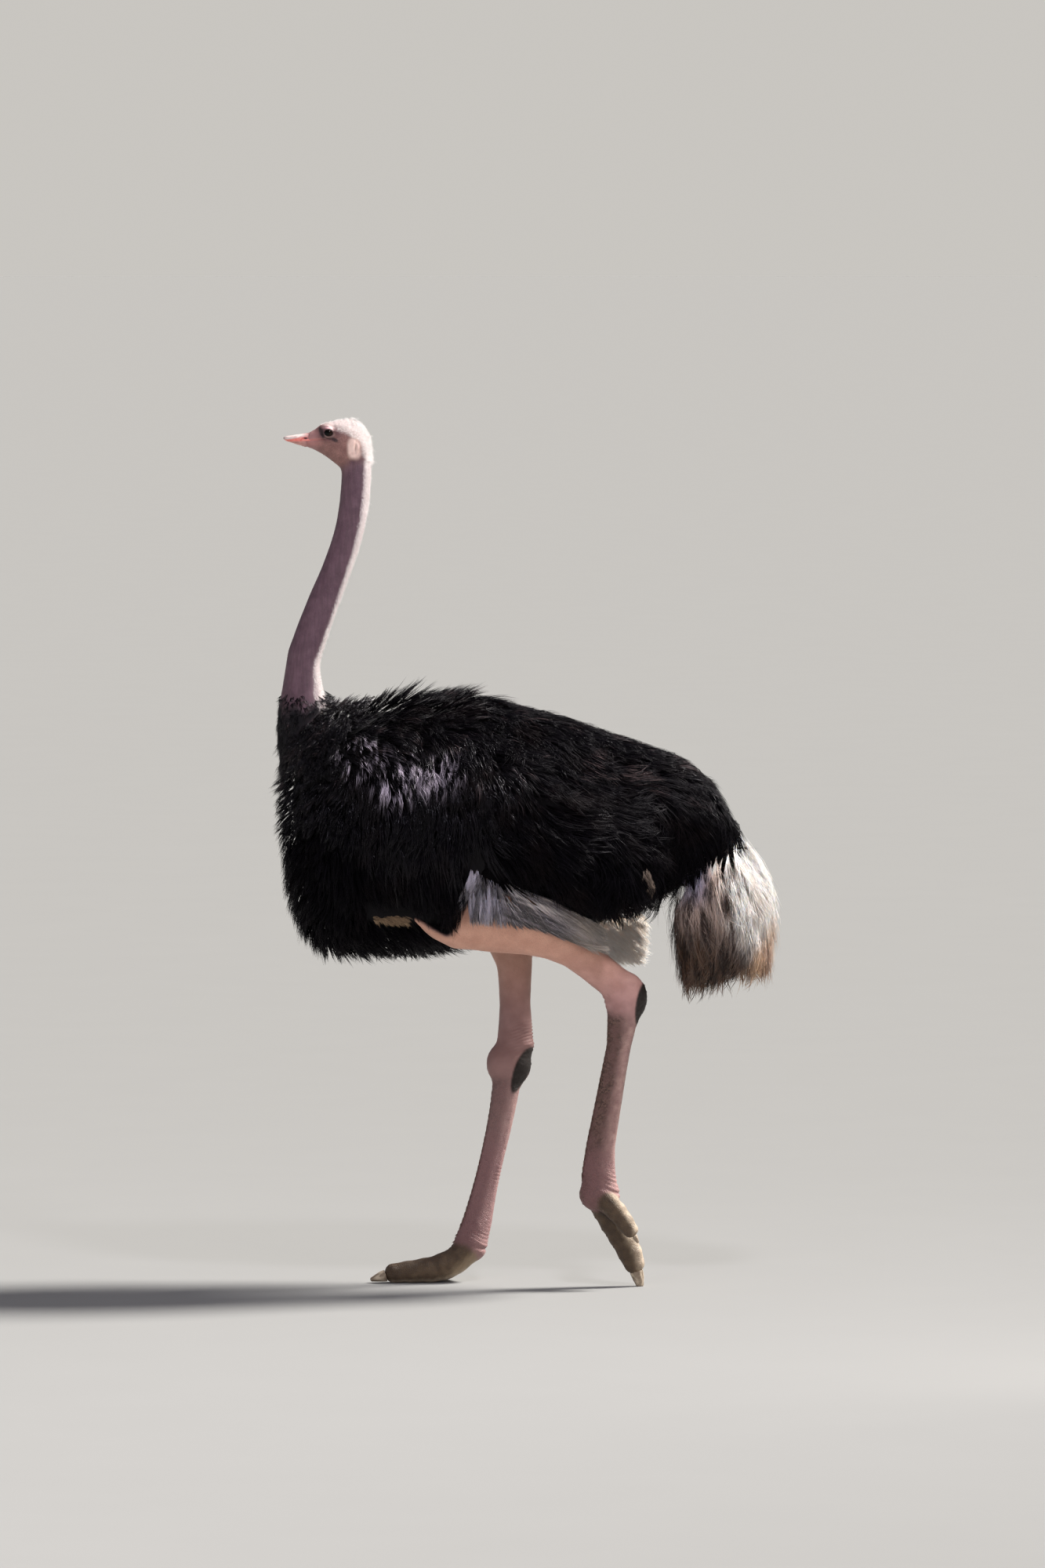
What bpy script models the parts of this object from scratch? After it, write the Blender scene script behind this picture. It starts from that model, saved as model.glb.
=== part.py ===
"""A male ostrich in mid-stride, life size, as a still model for a museum floor.

The bird faces -X, its left side is -Y and +Z is up.  The floor is z = 0, and the origin is the middle of
the bounding box at floor level.  The right foot is planted and the left toes trail on their tip.
Every sub-part is its own closed solid, and neighbours stand a hair's breadth apart.
"""

import math

import bmesh
import bpy
from mathutils import Vector

# ---------------------------------------------------------------- driving dimensions, in metres
GAP = 0.0003            # space between touching sub-parts
FLOOR = 0.0
LEFT, RIGHT = -1.0, 1.0  # the sign of Y on each side of the bird

# Trunk with its plumage, as a lines plan: (x, height) along the back and belly, (x, half width) across.
BACK_LINE = [(-0.632, 1.250), (-0.612, 1.370), (-0.560, 1.452), (-0.440, 1.496), (-0.160, 1.512),
             (0.060, 1.470), (0.260, 1.404), (0.400, 1.354), (0.480, 1.286), (0.550, 1.160)]
BELLY_LINE = [(-0.632, 1.250), (-0.616, 1.090), (-0.582, 0.925), (-0.500, 0.854), (-0.300, 0.846),
              (-0.060, 0.885), (0.160, 0.935), (0.340, 1.005), (0.470, 1.075), (0.550, 1.160)]
TRUNK_HALF_WIDTH = [(-0.632, 0.000), (-0.612, 0.090), (-0.560, 0.158), (-0.440, 0.218), (-0.200, 0.250),
                    (0.060, 0.246), (0.280, 0.205), (0.440, 0.140), (0.515, 0.085), (0.550, 0.000)]
TRUNK_WIDEST = 0.52     # height of the widest place, as a share of the section

# Folded wing with its coverts: a thick lens against the flank.
WING_TOP = [(-0.450, 1.180), (-0.390, 1.330), (-0.240, 1.420), (0.000, 1.405), (0.220, 1.325),
            (0.350, 1.240), (0.410, 1.140)]
WING_BOTTOM = [(-0.450, 1.180), (-0.405, 1.020), (-0.340, 0.968), (-0.262, 0.941), (-0.160, 0.892),
               (-0.118, 1.060), (-0.070, 1.060), (0.000, 1.026), (0.100, 0.974), (0.205, 0.922),
               (0.320, 0.975), (0.410, 1.140)]
WING_HALF_THICKNESS = [(-0.450, 0.000), (-0.405, 0.050), (-0.280, 0.085), (-0.100, 0.096), (0.120, 0.090),
                       (0.320, 0.062), (0.410, 0.000)]
WING_MIDDLE = [(-0.450, 0.190), (-0.200, 0.202), (0.060, 0.196), (0.280, 0.166), (0.410, 0.120)]
WING_CURL = 0.90        # how its upper half bends in over the back, per metre

# Pale primaries that hang from under the wing, over the drumstick.  The right wing is held lower.
PRIMARY_TOP = {LEFT: [(-0.155, 1.010), (-0.135, 1.090), (0.000, 1.030), (0.120, 0.985), (0.205, 0.915)],
               RIGHT: [(-0.080, 0.960), (-0.050, 1.060), (0.100, 1.020), (0.240, 1.000), (0.325, 0.900)]}
PRIMARY_BOTTOM = {LEFT: [(-0.155, 1.010), (-0.135, 0.940), (-0.040, 0.934), (0.080, 0.902), (0.205, 0.866)],
                  RIGHT: [(-0.080, 0.960), (-0.050, 0.920), (0.100, 0.880), (0.250, 0.800), (0.325, 0.850)]}
PRIMARY_HALF_THICKNESS = 0.017
PRIMARY_CURL = 5.0
PRIMARY_MIDDLE = 0.246  # distance of the hanging primaries from the middle plane

# Tail plumes: (height, x) down the front and the back, (height, half width) across.
TAIL_FRONT = [(0.738, 0.470), (0.770, 0.404), (0.880, 0.386), (1.000, 0.372), (1.120, 0.385), (1.235, 0.440)]
TAIL_BACK = [(0.738, 0.470), (0.765, 0.555), (0.810, 0.612), (0.900, 0.632), (1.000, 0.630),
             (1.080, 0.606), (1.160, 0.560), (1.235, 0.440)]
TAIL_HALF_WIDTH = [(0.738, 0.000), (0.770, 0.080), (0.860, 0.128), (1.000, 0.142), (1.120, 0.108), (1.235, 0.000)]

# Neck: (x, y, z, fore-and-aft radius, side radius) from inside the breast to inside the head.
NECK = [(-0.510, 0, 1.330, 0.115, 0.110), (-0.548, 0, 1.420, 0.088, 0.078), (-0.564, 0, 1.505, 0.062, 0.056),
        (-0.564, 0, 1.580, 0.049, 0.046), (-0.545, 0, 1.650, 0.047, 0.043), (-0.512, 0, 1.740, 0.045, 0.041),
        (-0.476, 0, 1.830, 0.042, 0.039), (-0.446, 0, 1.920, 0.042, 0.038), (-0.430, 0, 2.010, 0.043, 0.037),
        (-0.426, 0, 2.080, 0.043, 0.036), (-0.430, 0, 2.150, 0.036, 0.030)]
NECK_CUTS = [0.0, 0.205, 0.470, 0.760, 1.0]  # shares of the neck's length where its sub-parts meet
NECK_PARTS = ["neck_base", "neck_lower", "neck_middle", "neck_upper"]

# Head and bill: (x, height) over the crown and under the jaw, (x, half width).
CROWN_LINE = [(-0.6155, 2.1620), (-0.611, 2.1655), (-0.590, 2.1690), (-0.560, 2.1735), (-0.540, 2.1815),
              (-0.515, 2.2030), (-0.490, 2.2150), (-0.450, 2.2200), (-0.415, 2.2080), (-0.392, 2.1750),
              (-0.383, 2.1250)]
JAW_LINE = [(-0.6155, 2.1620), (-0.611, 2.1570), (-0.590, 2.1500), (-0.560, 2.1420), (-0.540, 2.1330),
            (-0.515, 2.1190), (-0.490, 2.1010), (-0.465, 2.0800), (-0.430, 2.0640), (-0.392, 2.0780),
            (-0.383, 2.1250)]
HEAD_HALF_WIDTH = [(-0.6155, 0.0000), (-0.611, 0.0080), (-0.595, 0.0145), (-0.565, 0.0190), (-0.540, 0.0235),
                   (-0.515, 0.0320), (-0.490, 0.0375), (-0.450, 0.0400), (-0.415, 0.0355), (-0.390, 0.0200),
                   (-0.383, 0.0000)]
HEAD_WIDEST = 0.55
MOUTH_FRONT, GAPE = (-0.640, 2.1612), (-0.511, 2.1510)  # the line where the bill closes
BILL_ROOT_X = -0.548
EYE = (-0.4995, 0.0222, 2.1762)
EYE_RADIUS = 0.0165
EAR = (-0.436, 0.0345, 2.1380)
EAR_RADII = (0.0195, 0.0080, 0.0280)

# Legs: (x, y, z, fore-and-aft radius, side radius), with y the distance from the middle plane.
DRUMSTICK = {
    LEFT: [(-0.292, 0.157, 0.966, 0.020, 0.026), (-0.264, 0.158, 0.965, 0.050, 0.047),
           (-0.226, 0.158, 0.966, 0.076, 0.058), (-0.176, 0.157, 0.966, 0.098, 0.067),
           (-0.065, 0.153, 0.955, 0.098, 0.074), (0.060, 0.142, 0.907, 0.067, 0.057),
           (0.145, 0.132, 0.848, 0.045, 0.041), (0.205, 0.126, 0.800, 0.045, 0.036),
           (0.254, 0.122, 0.757, 0.048, 0.034)],
    RIGHT: [(-0.105, 0.150, 1.090, 0.080, 0.055), (-0.080, 0.146, 1.000, 0.098, 0.074),
            (-0.048, 0.134, 0.900, 0.072, 0.062), (-0.027, 0.118, 0.800, 0.046, 0.043),
            (-0.026, 0.104, 0.700, 0.041, 0.037), (-0.025, 0.094, 0.620, 0.048, 0.036),
            (-0.040, 0.088, 0.560, 0.050, 0.034)]}
HOCK = {LEFT: (0.254, 0.122, 0.744), RIGHT: (-0.043, 0.088, 0.556)}
HOCK_RADII = {LEFT: (0.0565, 0.0400, 0.0680), RIGHT: (0.0590, 0.0400, 0.0630)}
TARSUS = {
    LEFT: [(0.254, 0.122, 0.744, 0.050, 0.034), (0.246, 0.119, 0.680, 0.040, 0.030),
           (0.238, 0.115, 0.620, 0.033, 0.026), (0.225, 0.111, 0.550, 0.034, 0.025),
           (0.211, 0.105, 0.470, 0.036, 0.025), (0.197, 0.098, 0.390, 0.038, 0.026),
           (0.188, 0.092, 0.330, 0.041, 0.028), (0.187, 0.089, 0.280, 0.047, 0.032),
           (0.189, 0.088, 0.240, 0.050, 0.034)],
    RIGHT: [(-0.043, 0.088, 0.556, 0.048, 0.034), (-0.050, 0.083, 0.490, 0.037, 0.030),
            (-0.066, 0.074, 0.400, 0.034, 0.025), (-0.089, 0.062, 0.300, 0.032, 0.024),
            (-0.110, 0.052, 0.210, 0.035, 0.026), (-0.124, 0.046, 0.150, 0.040, 0.031),
            (-0.138, 0.042, 0.104, 0.044, 0.034)]}
KNUCKLE = {LEFT: (0.190, 0.088, 0.238), RIGHT: (-0.140, 0.042, 0.096)}
KNUCKLE_RADII = {LEFT: (0.055, 0.040, 0.047), RIGHT: (0.046, 0.040, 0.048)}

# Toes: the big inner toe and the short outer toe, each ending where its claw begins.
INNER_TOE = {
    LEFT: [(0.186, 0.078, 0.228, 0.034, 0.030), (0.226, 0.074, 0.158, 0.034, 0.029),
           (0.262, 0.070, 0.098, 0.034, 0.027), (0.279, 0.068, 0.056, 0.029, 0.022)],
    RIGHT: [(-0.142, 0.034, 0.086, 0.036, 0.032), (-0.190, 0.028, 0.048, 0.038, 0.033),
            (-0.235, 0.023, 0.033, 0.036, 0.032), (-0.290, 0.018, 0.028, 0.031, 0.029),
            (-0.340, 0.014, 0.024, 0.027, 0.024)]}
OUTER_TOE = {
    LEFT: [(0.200, 0.106, 0.232, 0.030, 0.024), (0.238, 0.122, 0.190, 0.028, 0.022),
           (0.268, 0.130, 0.150, 0.023, 0.018)],
    RIGHT: [(-0.150, 0.056, 0.074, 0.032, 0.024), (-0.195, 0.080, 0.038, 0.030, 0.024),
            (-0.225, 0.094, 0.025, 0.028, 0.022), (-0.252, 0.104, 0.020, 0.023, 0.018)]}
INNER_CLAW = {
    LEFT: [(0.274, 0.069, 0.066, 0.021, 0.018), (0.287, 0.067, 0.028, 0.017, 0.014),
           (0.293, 0.066, 0.002, 0.010, 0.010)],
    RIGHT: [(-0.325, 0.015, 0.024, 0.020, 0.019), (-0.360, 0.012, 0.018, 0.016, 0.014),
            (-0.392, 0.010, 0.009, 0.006, 0.007)]}
OUTER_CLAW = {
    LEFT: [(0.264, 0.129, 0.156, 0.012, 0.011), (0.279, 0.133, 0.134, 0.008, 0.007),
           (0.286, 0.135, 0.121, 0.004, 0.004)],
    RIGHT: [(-0.246, 0.101, 0.018, 0.012, 0.011), (-0.268, 0.110, 0.011, 0.008, 0.007),
            (-0.280, 0.115, 0.006, 0.004, 0.004)]}

# Finishes: (red, green, blue), roughness.
FINISHES = {
    "black_plumage": ((0.012, 0.011, 0.014), 0.45),
    "white_plumage": ((0.62, 0.55, 0.50), 0.80),
    "neck_skin": ((0.22, 0.14, 0.15), 0.65),
    "head_skin": ((0.34, 0.20, 0.18), 0.65),
    "leg_skin": ((0.28, 0.17, 0.15), 0.60),
    "bill_horn": ((0.55, 0.27, 0.22), 0.40),
    "claw_horn": ((0.36, 0.30, 0.24), 0.45),
    "eye": ((0.02, 0.012, 0.008), 0.05),
}


# ---------------------------------------------------------------- smooth lines
def tangents(keys, values):
    """Slope at each point, limited so that the curve never overshoots between points."""
    steps = [(values[i + 1] - values[i]) / (keys[i + 1] - keys[i]) for i in range(len(keys) - 1)]
    inner = [2 * a * b / (a + b) if a * b > 0 else 0.0 for a, b in zip(steps, steps[1:])]
    return [steps[0], *inner, steps[-1]]


def smooth_line(rows):
    """A function of position that runs smoothly through rows of (position, value, ...)."""
    keys = [row[0] for row in rows]
    columns = [list(column) for column in zip(*[row[1:] for row in rows])]
    slopes = [tangents(keys, column) for column in columns]

    def at(key):
        i = max(0, min(len(keys) - 2, sum(k <= key for k in keys) - 1))
        span = keys[i + 1] - keys[i]
        t = (key - keys[i]) / span
        found = [
            (2 * t**3 - 3 * t**2 + 1) * column[i] + (t**3 - 2 * t**2 + t) * span * slope[i]
            + (3 * t**2 - 2 * t**3) * column[i + 1] + (t**3 - t**2) * span * slope[i + 1]
            for column, slope in zip(columns, slopes)]
        return found[0] if len(found) == 1 else found

    return at


def spine_line(stations):
    """A smooth spine through (x, y, z, radius, radius) stations, by distance along it, and its length."""
    rows, run = [], 0.0
    for i, station in enumerate(stations):
        if i:
            run += (Vector(station[:3]) - Vector(stations[i - 1][:3])).length
        rows.append((run, *station))
    return smooth_line(rows), run


# ---------------------------------------------------------------- lofts
def rounded(value, squareness):
    """A sine or cosine bent towards a rounded square: 2 is an ellipse, more is squarer."""
    return math.copysign(abs(value) ** (2 / squareness), value)


def finished(name, shape, grow):
    """The closed shape as an object, with every face moved outwards by grow."""
    bmesh.ops.recalc_face_normals(shape, faces=shape.faces)
    shape.normal_update()
    moves = [vert.normal * grow * min(vert.calc_shell_factor(), 2.0) for vert in shape.verts]
    for vert, move in zip(shape.verts, moves):
        vert.co += move
    mesh = bpy.data.meshes.new(name)
    shape.to_mesh(mesh)
    shape.free()
    mesh.shade_smooth()
    return bpy.data.objects.new(name, mesh)


def skinned(name, rings, start_pole=None, end_pole=None, grow=0.0):
    """One closed object over rings of points.  An end without a pole gets a flat cap."""
    shape = bmesh.new()
    loops = [[shape.verts.new(point) for point in ring] for ring in rings]
    count = len(loops[0])
    for first, second in zip(loops, loops[1:]):
        for k in range(count):
            after = (k + 1) % count
            shape.faces.new((first[k], first[after], second[after]))
            shape.faces.new((first[k], second[after], second[k]))
    for loop, pole in ((loops[0], start_pole), (loops[-1], end_pole)):
        if pole is None:
            shape.faces.new(loop)
            continue
        tip = shape.verts.new(pole)
        for k in range(count):
            shape.faces.new((loop[k], loop[(k + 1) % count], tip))
    return finished(name, shape, grow)


def profile_loft(name, low, high, half_width, middle, widest, sides, rings, grow=0.0, squareness=2.0,
                 curl=0.0, upright=False):
    """A body between a low and a high line, stacked along X, or along Z where upright.

    curl bends its upper half sideways, by curl times the square of the height above its widest level.
    """
    begin, end = low[0][0], low[-1][0]
    low_at, high_at, half_at, middle_at = map(smooth_line, (low, high, half_width, middle))

    def place(along, across, off_middle):
        return Vector((across, off_middle, along)) if upright else Vector((along, off_middle, across))

    def ring(along):
        bottom, top = low_at(along), high_at(along)
        level = bottom + (top - bottom) * widest
        half = half_at(along)
        points = []
        for k in range(sides):
            angle = math.tau * k / sides
            up = rounded(math.sin(angle), squareness)
            reach = top - level if up > 0 else level - bottom
            off_middle = middle_at(along) + half * rounded(math.cos(angle), squareness)
            off_middle += curl * (max(up, 0) * reach) ** 2
            points.append(place(along, level + up * reach, off_middle))
        return points

    def pole(along):
        return place(along, (low_at(along) + high_at(along)) / 2, middle_at(along))

    # Rings crowd towards the ends, where the section closes.
    stops = [begin + (end - begin) * (1 - math.cos(math.pi * (k + 0.45) / (rings - 0.1))) / 2
             for k in range(rings)]
    return skinned(name, [ring(stop) for stop in stops], pole(begin), pole(end), grow)


def spine_loft(name, stations, sides, rings, grow=0.0, cut=(0.0, 1.0), round_start=False, round_end=False,
               on_floor=False):
    """A limb along a spine.  cut keeps only that share of its length; a round end is a quarter ellipse."""
    at, length = spine_line(stations)
    begin = cut[0] * length + (GAP / 2 if cut[0] > 0 else 0)
    end = cut[1] * length - (GAP / 2 if cut[1] < 1 else 0)

    def section(run, shrink=1.0, beyond=0.0):
        *centre, fore, side = at(run)
        nudge = length * 0.01
        ahead, behind = Vector(at(min(run + nudge, length))[:3]), Vector(at(max(run - nudge, 0.0))[:3])
        along = (ahead - behind).normalized()
        across = (Vector((0, 1, 0)) - along * along.y).normalized()
        forward = across.cross(along)
        centre = Vector(centre) + along * beyond
        points = []
        for k in range(sides):
            angle = math.tau * (k + 0.5) / sides
            point = centre + (forward * math.cos(angle) * fore + across * math.sin(angle) * side) * shrink
            if on_floor:
                point.z = max(point.z, FLOOR)
            points.append(point)
        return points, centre, fore

    loops = [section(begin + (end - begin) * k / (rings - 1))[0] for k in range(rings)]
    poles = [None, None]
    for which, wanted, run, sign in ((0, round_start, begin, -1.0), (1, round_end, end, 1.0)):
        if not wanted:
            continue
        fore = section(run)[2]
        caps = [section(run, math.cos(turn), sign * fore * 0.8 * math.sin(turn))[0] for turn in (0.55, 1.1)]
        poles[which] = section(run, 0.0, sign * fore * 0.8)[1]
        loops = caps[::-1] + loops if which == 0 else loops + caps
    if on_floor:
        for pole in filter(None, poles):
            pole.z = max(pole.z, FLOOR)
    return skinned(name, loops, *poles, grow)


def ellipsoid(name, centre, radii, segments, rings, grow=0.0):
    """A ball with its own radius along each axis."""
    shape = bmesh.new()
    bmesh.ops.create_uvsphere(shape, u_segments=segments, v_segments=rings, radius=1.0)
    for vert in shape.verts:
        vert.co = Vector(c + r * v for c, r, v in zip(centre, radii, vert.co))
    return finished(name, shape, grow)


def wedge(name, outline, half_depth=0.1):
    """A flat-sided block: an (x, z) outline drawn out to both sides of the middle plane."""
    rings = [[Vector((x, y, z)) for x, z in outline] for y in (-half_depth, half_depth)]
    return skinned(name, rings)


# ---------------------------------------------------------------- the shapes, each by its growth
def sided(rows, side):
    """Stations with y given as a distance from the middle plane, moved to one side of the bird."""
    return [(x, side * y, *rest) for x, y, *rest in rows]


def across(rows, side):
    return [(x, side * y) for x, y in rows]


def trunk(grow):
    return profile_loft("trunk", BELLY_LINE, BACK_LINE, TRUNK_HALF_WIDTH, [(-1, 0), (1, 0)], TRUNK_WIDEST,
                        22, 22, grow, 2.15)


def wing(side):
    def build(grow):
        return profile_loft("wing", WING_BOTTOM, WING_TOP, WING_HALF_THICKNESS, across(WING_MIDDLE, side),
                            0.45, 16, 15, grow, 2.4, -side * WING_CURL)
    return build


def primaries(side):
    def build(grow):
        low, high = PRIMARY_BOTTOM[side], PRIMARY_TOP[side]
        first, last = low[0][0], low[-1][0]
        half = [(first, 0.0), (first + 0.03, PRIMARY_HALF_THICKNESS), (last - 0.05, PRIMARY_HALF_THICKNESS),
                (last, 0.0)]
        middle = across([(first, PRIMARY_MIDDLE), (last, PRIMARY_MIDDLE - 0.045)], side)
        return profile_loft("primaries", low, high, half, middle, 0.5, 10, 10, grow, 2.4, -side * PRIMARY_CURL)
    return build


def tail(grow):
    return profile_loft("tail", TAIL_FRONT, TAIL_BACK, TAIL_HALF_WIDTH, [(0, 0), (2, 0)], 0.5, 14, 13, grow,
                        2.2, upright=True)


def whole_head(grow):
    return profile_loft("head", JAW_LINE, CROWN_LINE, HEAD_HALF_WIDTH, [(-1, 0), (1, 0)], HEAD_WIDEST, 16, 19,
                        grow)


def neck_part(index):
    def build(grow):
        cut = NECK_CUTS[index], NECK_CUTS[index + 1]
        rings = round((cut[1] - cut[0]) * 24) + 1
        return spine_loft("neck", NECK, 14, rings, grow, cut)
    return build


def upper_bill_block(grow):
    """The space ahead of the bill's root and above the mouth line."""
    root = BILL_ROOT_X + grow
    fall = (GAPE[1] - MOUTH_FRONT[1]) / (GAPE[0] - MOUTH_FRONT[0])
    at_root = MOUTH_FRONT[1] + fall * (root - MOUTH_FRONT[0])
    return wedge("block", [(MOUTH_FRONT[0], MOUTH_FRONT[1] + GAP), (root, at_root + GAP), (root, 2.26),
                           (MOUTH_FRONT[0], 2.26)])


def lower_bill_block(grow):
    """The space ahead of the gape and below the mouth line."""
    return wedge("block", [(MOUTH_FRONT[0], MOUTH_FRONT[1] - GAP + grow), (GAPE[0] + grow, GAPE[1] - GAP + grow),
                           (GAPE[0] + grow, 2.04), (MOUTH_FRONT[0], 2.04)])


def ball(centre, radii, side, segments, rings):
    def build(grow):
        return ellipsoid("ball", (centre[0], side * centre[1], centre[2]), radii, segments, rings, grow)
    return build


def limb(stations, side, sides, rings, **options):
    def build(grow):
        return spine_loft("limb", sided(stations, side), sides, rings, grow, **options)
    return build


# ---------------------------------------------------------------- putting sub-parts together
def new_collection(name, hidden=False):
    collection = bpy.data.collections.new(name)
    bpy.context.scene.collection.children.link(collection)
    collection.hide_render = hidden
    return collection


def finish_material(name):
    colour, roughness = FINISHES[name]
    material = bpy.data.materials.get(name) or bpy.data.materials.new(name)
    material.use_nodes = True
    shader = material.node_tree.nodes["Principled BSDF"]
    shader.inputs["Base Color"].default_value = (*colour, 1.0)
    shader.inputs["Roughness"].default_value = roughness
    return material


def sub_part(name, finish, build, away_from=(), inside=None):
    """One named solid.  away_from lists the shapes that it clears; inside is a block that it keeps to."""
    solid = build(0.0)
    solid.name = name
    solid.data.name = name
    solid.data.materials.append(finish_material(finish))
    solid.parent = root
    bird.objects.link(solid)
    jobs = [("DIFFERENCE", other(GAP)) for other in away_from]
    if inside:
        jobs.append(("INTERSECT", inside(0.0)))
    for operation, cutter in jobs:
        cutter.name = name + "_cutter"
        cutter.data.shade_flat()
        cutter.hide_render = True
        cutter.display_type = "WIRE"
        cutters.objects.link(cutter)
        boolean = solid.modifiers.new(operation.title(), "BOOLEAN")
        boolean.operation = operation
        boolean.solver = "EXACT"
        boolean.object = cutter
    return solid


def build_body():
    sub_part("trunk", "black_plumage", trunk)
    sub_part("tail", "white_plumage", tail, [trunk])
    for side, word in ((LEFT, "left"), (RIGHT, "right")):
        sub_part(f"wing_{word}", "black_plumage", wing(side), [trunk])
        sub_part(f"primaries_{word}", "white_plumage", primaries(side), [trunk, wing(side)])


def build_neck_and_head():
    for index, name in enumerate(NECK_PARTS):
        finish = "black_plumage" if name == "neck_base" else "neck_skin"
        away = {"neck_base": [trunk], "neck_upper": [whole_head]}.get(name, [])
        sub_part(name, finish, neck_part(index), away)
    eyes = [ball(EYE, (EYE_RADIUS,) * 3, side, 12, 7) for side in (LEFT, RIGHT)]
    sub_part("head", "head_skin", whole_head, [upper_bill_block, lower_bill_block, *eyes])
    sub_part("upper_bill", "bill_horn", whole_head, inside=upper_bill_block)
    sub_part("lower_bill", "bill_horn", whole_head, inside=lower_bill_block)
    for side, word, eye in zip((LEFT, RIGHT), ("left", "right"), eyes):
        sub_part(f"eye_{word}", "eye", eye)
        sub_part(f"ear_{word}", "head_skin", ball(EAR, EAR_RADII, side, 10, 6), [whole_head])


def build_leg(side, word):
    hock = ball(HOCK[side], HOCK_RADII[side], side, 12, 8)
    knuckle = ball(KNUCKLE[side], KNUCKLE_RADII[side], side, 12, 7)
    inner_toe = limb(INNER_TOE[side], side, 10, 7, on_floor=True, round_end=True)
    outer_toe = limb(OUTER_TOE[side], side, 8, 6, on_floor=True, round_end=True)
    sub_part(f"drumstick_{word}", "leg_skin", limb(DRUMSTICK[side], side, 14, 12, round_start=True),
             [trunk, wing(side), primaries(side), hock])
    sub_part(f"hock_{word}", "leg_skin", hock)
    sub_part(f"tarsus_{word}", "leg_skin", limb(TARSUS[side], side, 10, 9), [hock, knuckle])
    sub_part(f"knuckle_{word}", "leg_skin", knuckle)
    sub_part(f"inner_toe_{word}", "leg_skin", inner_toe, [knuckle])
    sub_part(f"outer_toe_{word}", "leg_skin", outer_toe, [knuckle, inner_toe])
    sub_part(f"inner_claw_{word}", "claw_horn",
             limb(INNER_CLAW[side], side, 8, 4, on_floor=True, round_end=True), [inner_toe])
    sub_part(f"outer_claw_{word}", "claw_horn",
             limb(OUTER_CLAW[side], side, 6, 3, on_floor=True, round_end=True), [outer_toe])


for old in list(bpy.data.objects):
    bpy.data.objects.remove(old)
bird = new_collection("ostrich")
cutters = new_collection("cutters", hidden=True)
root = bpy.data.objects.new("ostrich_root", None)
bird.objects.link(root)
build_body()
build_neck_and_head()
for leg_side, leg_word in ((LEFT, "left"), (RIGHT, "right")):
    build_leg(leg_side, leg_word)
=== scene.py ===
import math

import bmesh
import bpy
import numpy as np
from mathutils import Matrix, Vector
from mathutils.bvhtree import BVHTree


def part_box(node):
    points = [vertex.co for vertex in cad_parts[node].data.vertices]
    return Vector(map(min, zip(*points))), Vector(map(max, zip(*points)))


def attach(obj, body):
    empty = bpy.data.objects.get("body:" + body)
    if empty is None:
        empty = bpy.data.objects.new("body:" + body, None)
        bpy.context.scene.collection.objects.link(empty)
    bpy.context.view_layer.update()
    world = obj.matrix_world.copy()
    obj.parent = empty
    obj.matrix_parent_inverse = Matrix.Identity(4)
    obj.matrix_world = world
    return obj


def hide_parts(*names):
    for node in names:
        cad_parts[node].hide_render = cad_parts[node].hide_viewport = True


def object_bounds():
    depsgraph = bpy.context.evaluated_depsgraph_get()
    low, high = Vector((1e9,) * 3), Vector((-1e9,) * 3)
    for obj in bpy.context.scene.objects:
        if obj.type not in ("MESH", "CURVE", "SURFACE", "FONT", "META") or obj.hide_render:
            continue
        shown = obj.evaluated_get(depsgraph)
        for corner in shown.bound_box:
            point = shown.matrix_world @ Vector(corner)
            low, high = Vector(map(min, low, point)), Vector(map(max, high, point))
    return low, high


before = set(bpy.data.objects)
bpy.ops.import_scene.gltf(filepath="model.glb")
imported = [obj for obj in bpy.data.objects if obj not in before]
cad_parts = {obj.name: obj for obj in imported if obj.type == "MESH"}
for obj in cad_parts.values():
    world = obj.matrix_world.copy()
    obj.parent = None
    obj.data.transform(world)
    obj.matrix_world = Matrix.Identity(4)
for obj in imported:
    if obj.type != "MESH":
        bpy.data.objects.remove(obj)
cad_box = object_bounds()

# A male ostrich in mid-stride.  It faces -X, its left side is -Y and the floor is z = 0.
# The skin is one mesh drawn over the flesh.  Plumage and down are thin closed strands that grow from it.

# ---------------------------------------------------------------- sizes, in metres
SKIN_VOXEL = 0.004          # spacing of the skin's mesh before it is refined
FLESH_GROWTH = 0.0012       # the bare parts are grown this much before they are joined
SKIN_INSET = 0.0008         # bare skin under its finest down
CROWN_INSET = 0.009         # skin under the down of the crown and the nape
PLUME_DEPTH = 0.036         # coat depth on the trunk
SIDES = (("left", -1.0), ("right", 1.0))
DOWN = np.array([0.0, 0.0, -1.0])
NEAR_Y = -0.36              # a place beside the bird, outside its near plumage
EYE_TILT = math.radians(8)  # how far each eye's front corner is turned down
PATCH_HALF_WIDTH = 0.0002   # of one strand on the bake map, which is 1 wide
BARB_RIDGE = 0.5            # height of a strand's ridge over its half width
RACHIS_STATIONS = 6         # points along the middle of each plume
SCALE_CELLS = 230.0         # scales to a metre on the legs

LEG_NODES = [f"{part}_{side}" for side, _ in SIDES
             for part in ("drumstick", "hock", "tarsus", "knuckle", "inner_toe", "outer_toe")]
NECK_NODES = ["neck_base", "neck_lower", "neck_middle", "neck_upper"]
HEAD_NODES = ["head", "ear_left", "ear_right", "upper_bill", "lower_bill"]


def middle(node):
    low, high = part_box(node)
    return (np.array(low) + np.array(high)) / 2


def extent(node):
    low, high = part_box(node)
    return np.array(high) - np.array(low)


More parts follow.
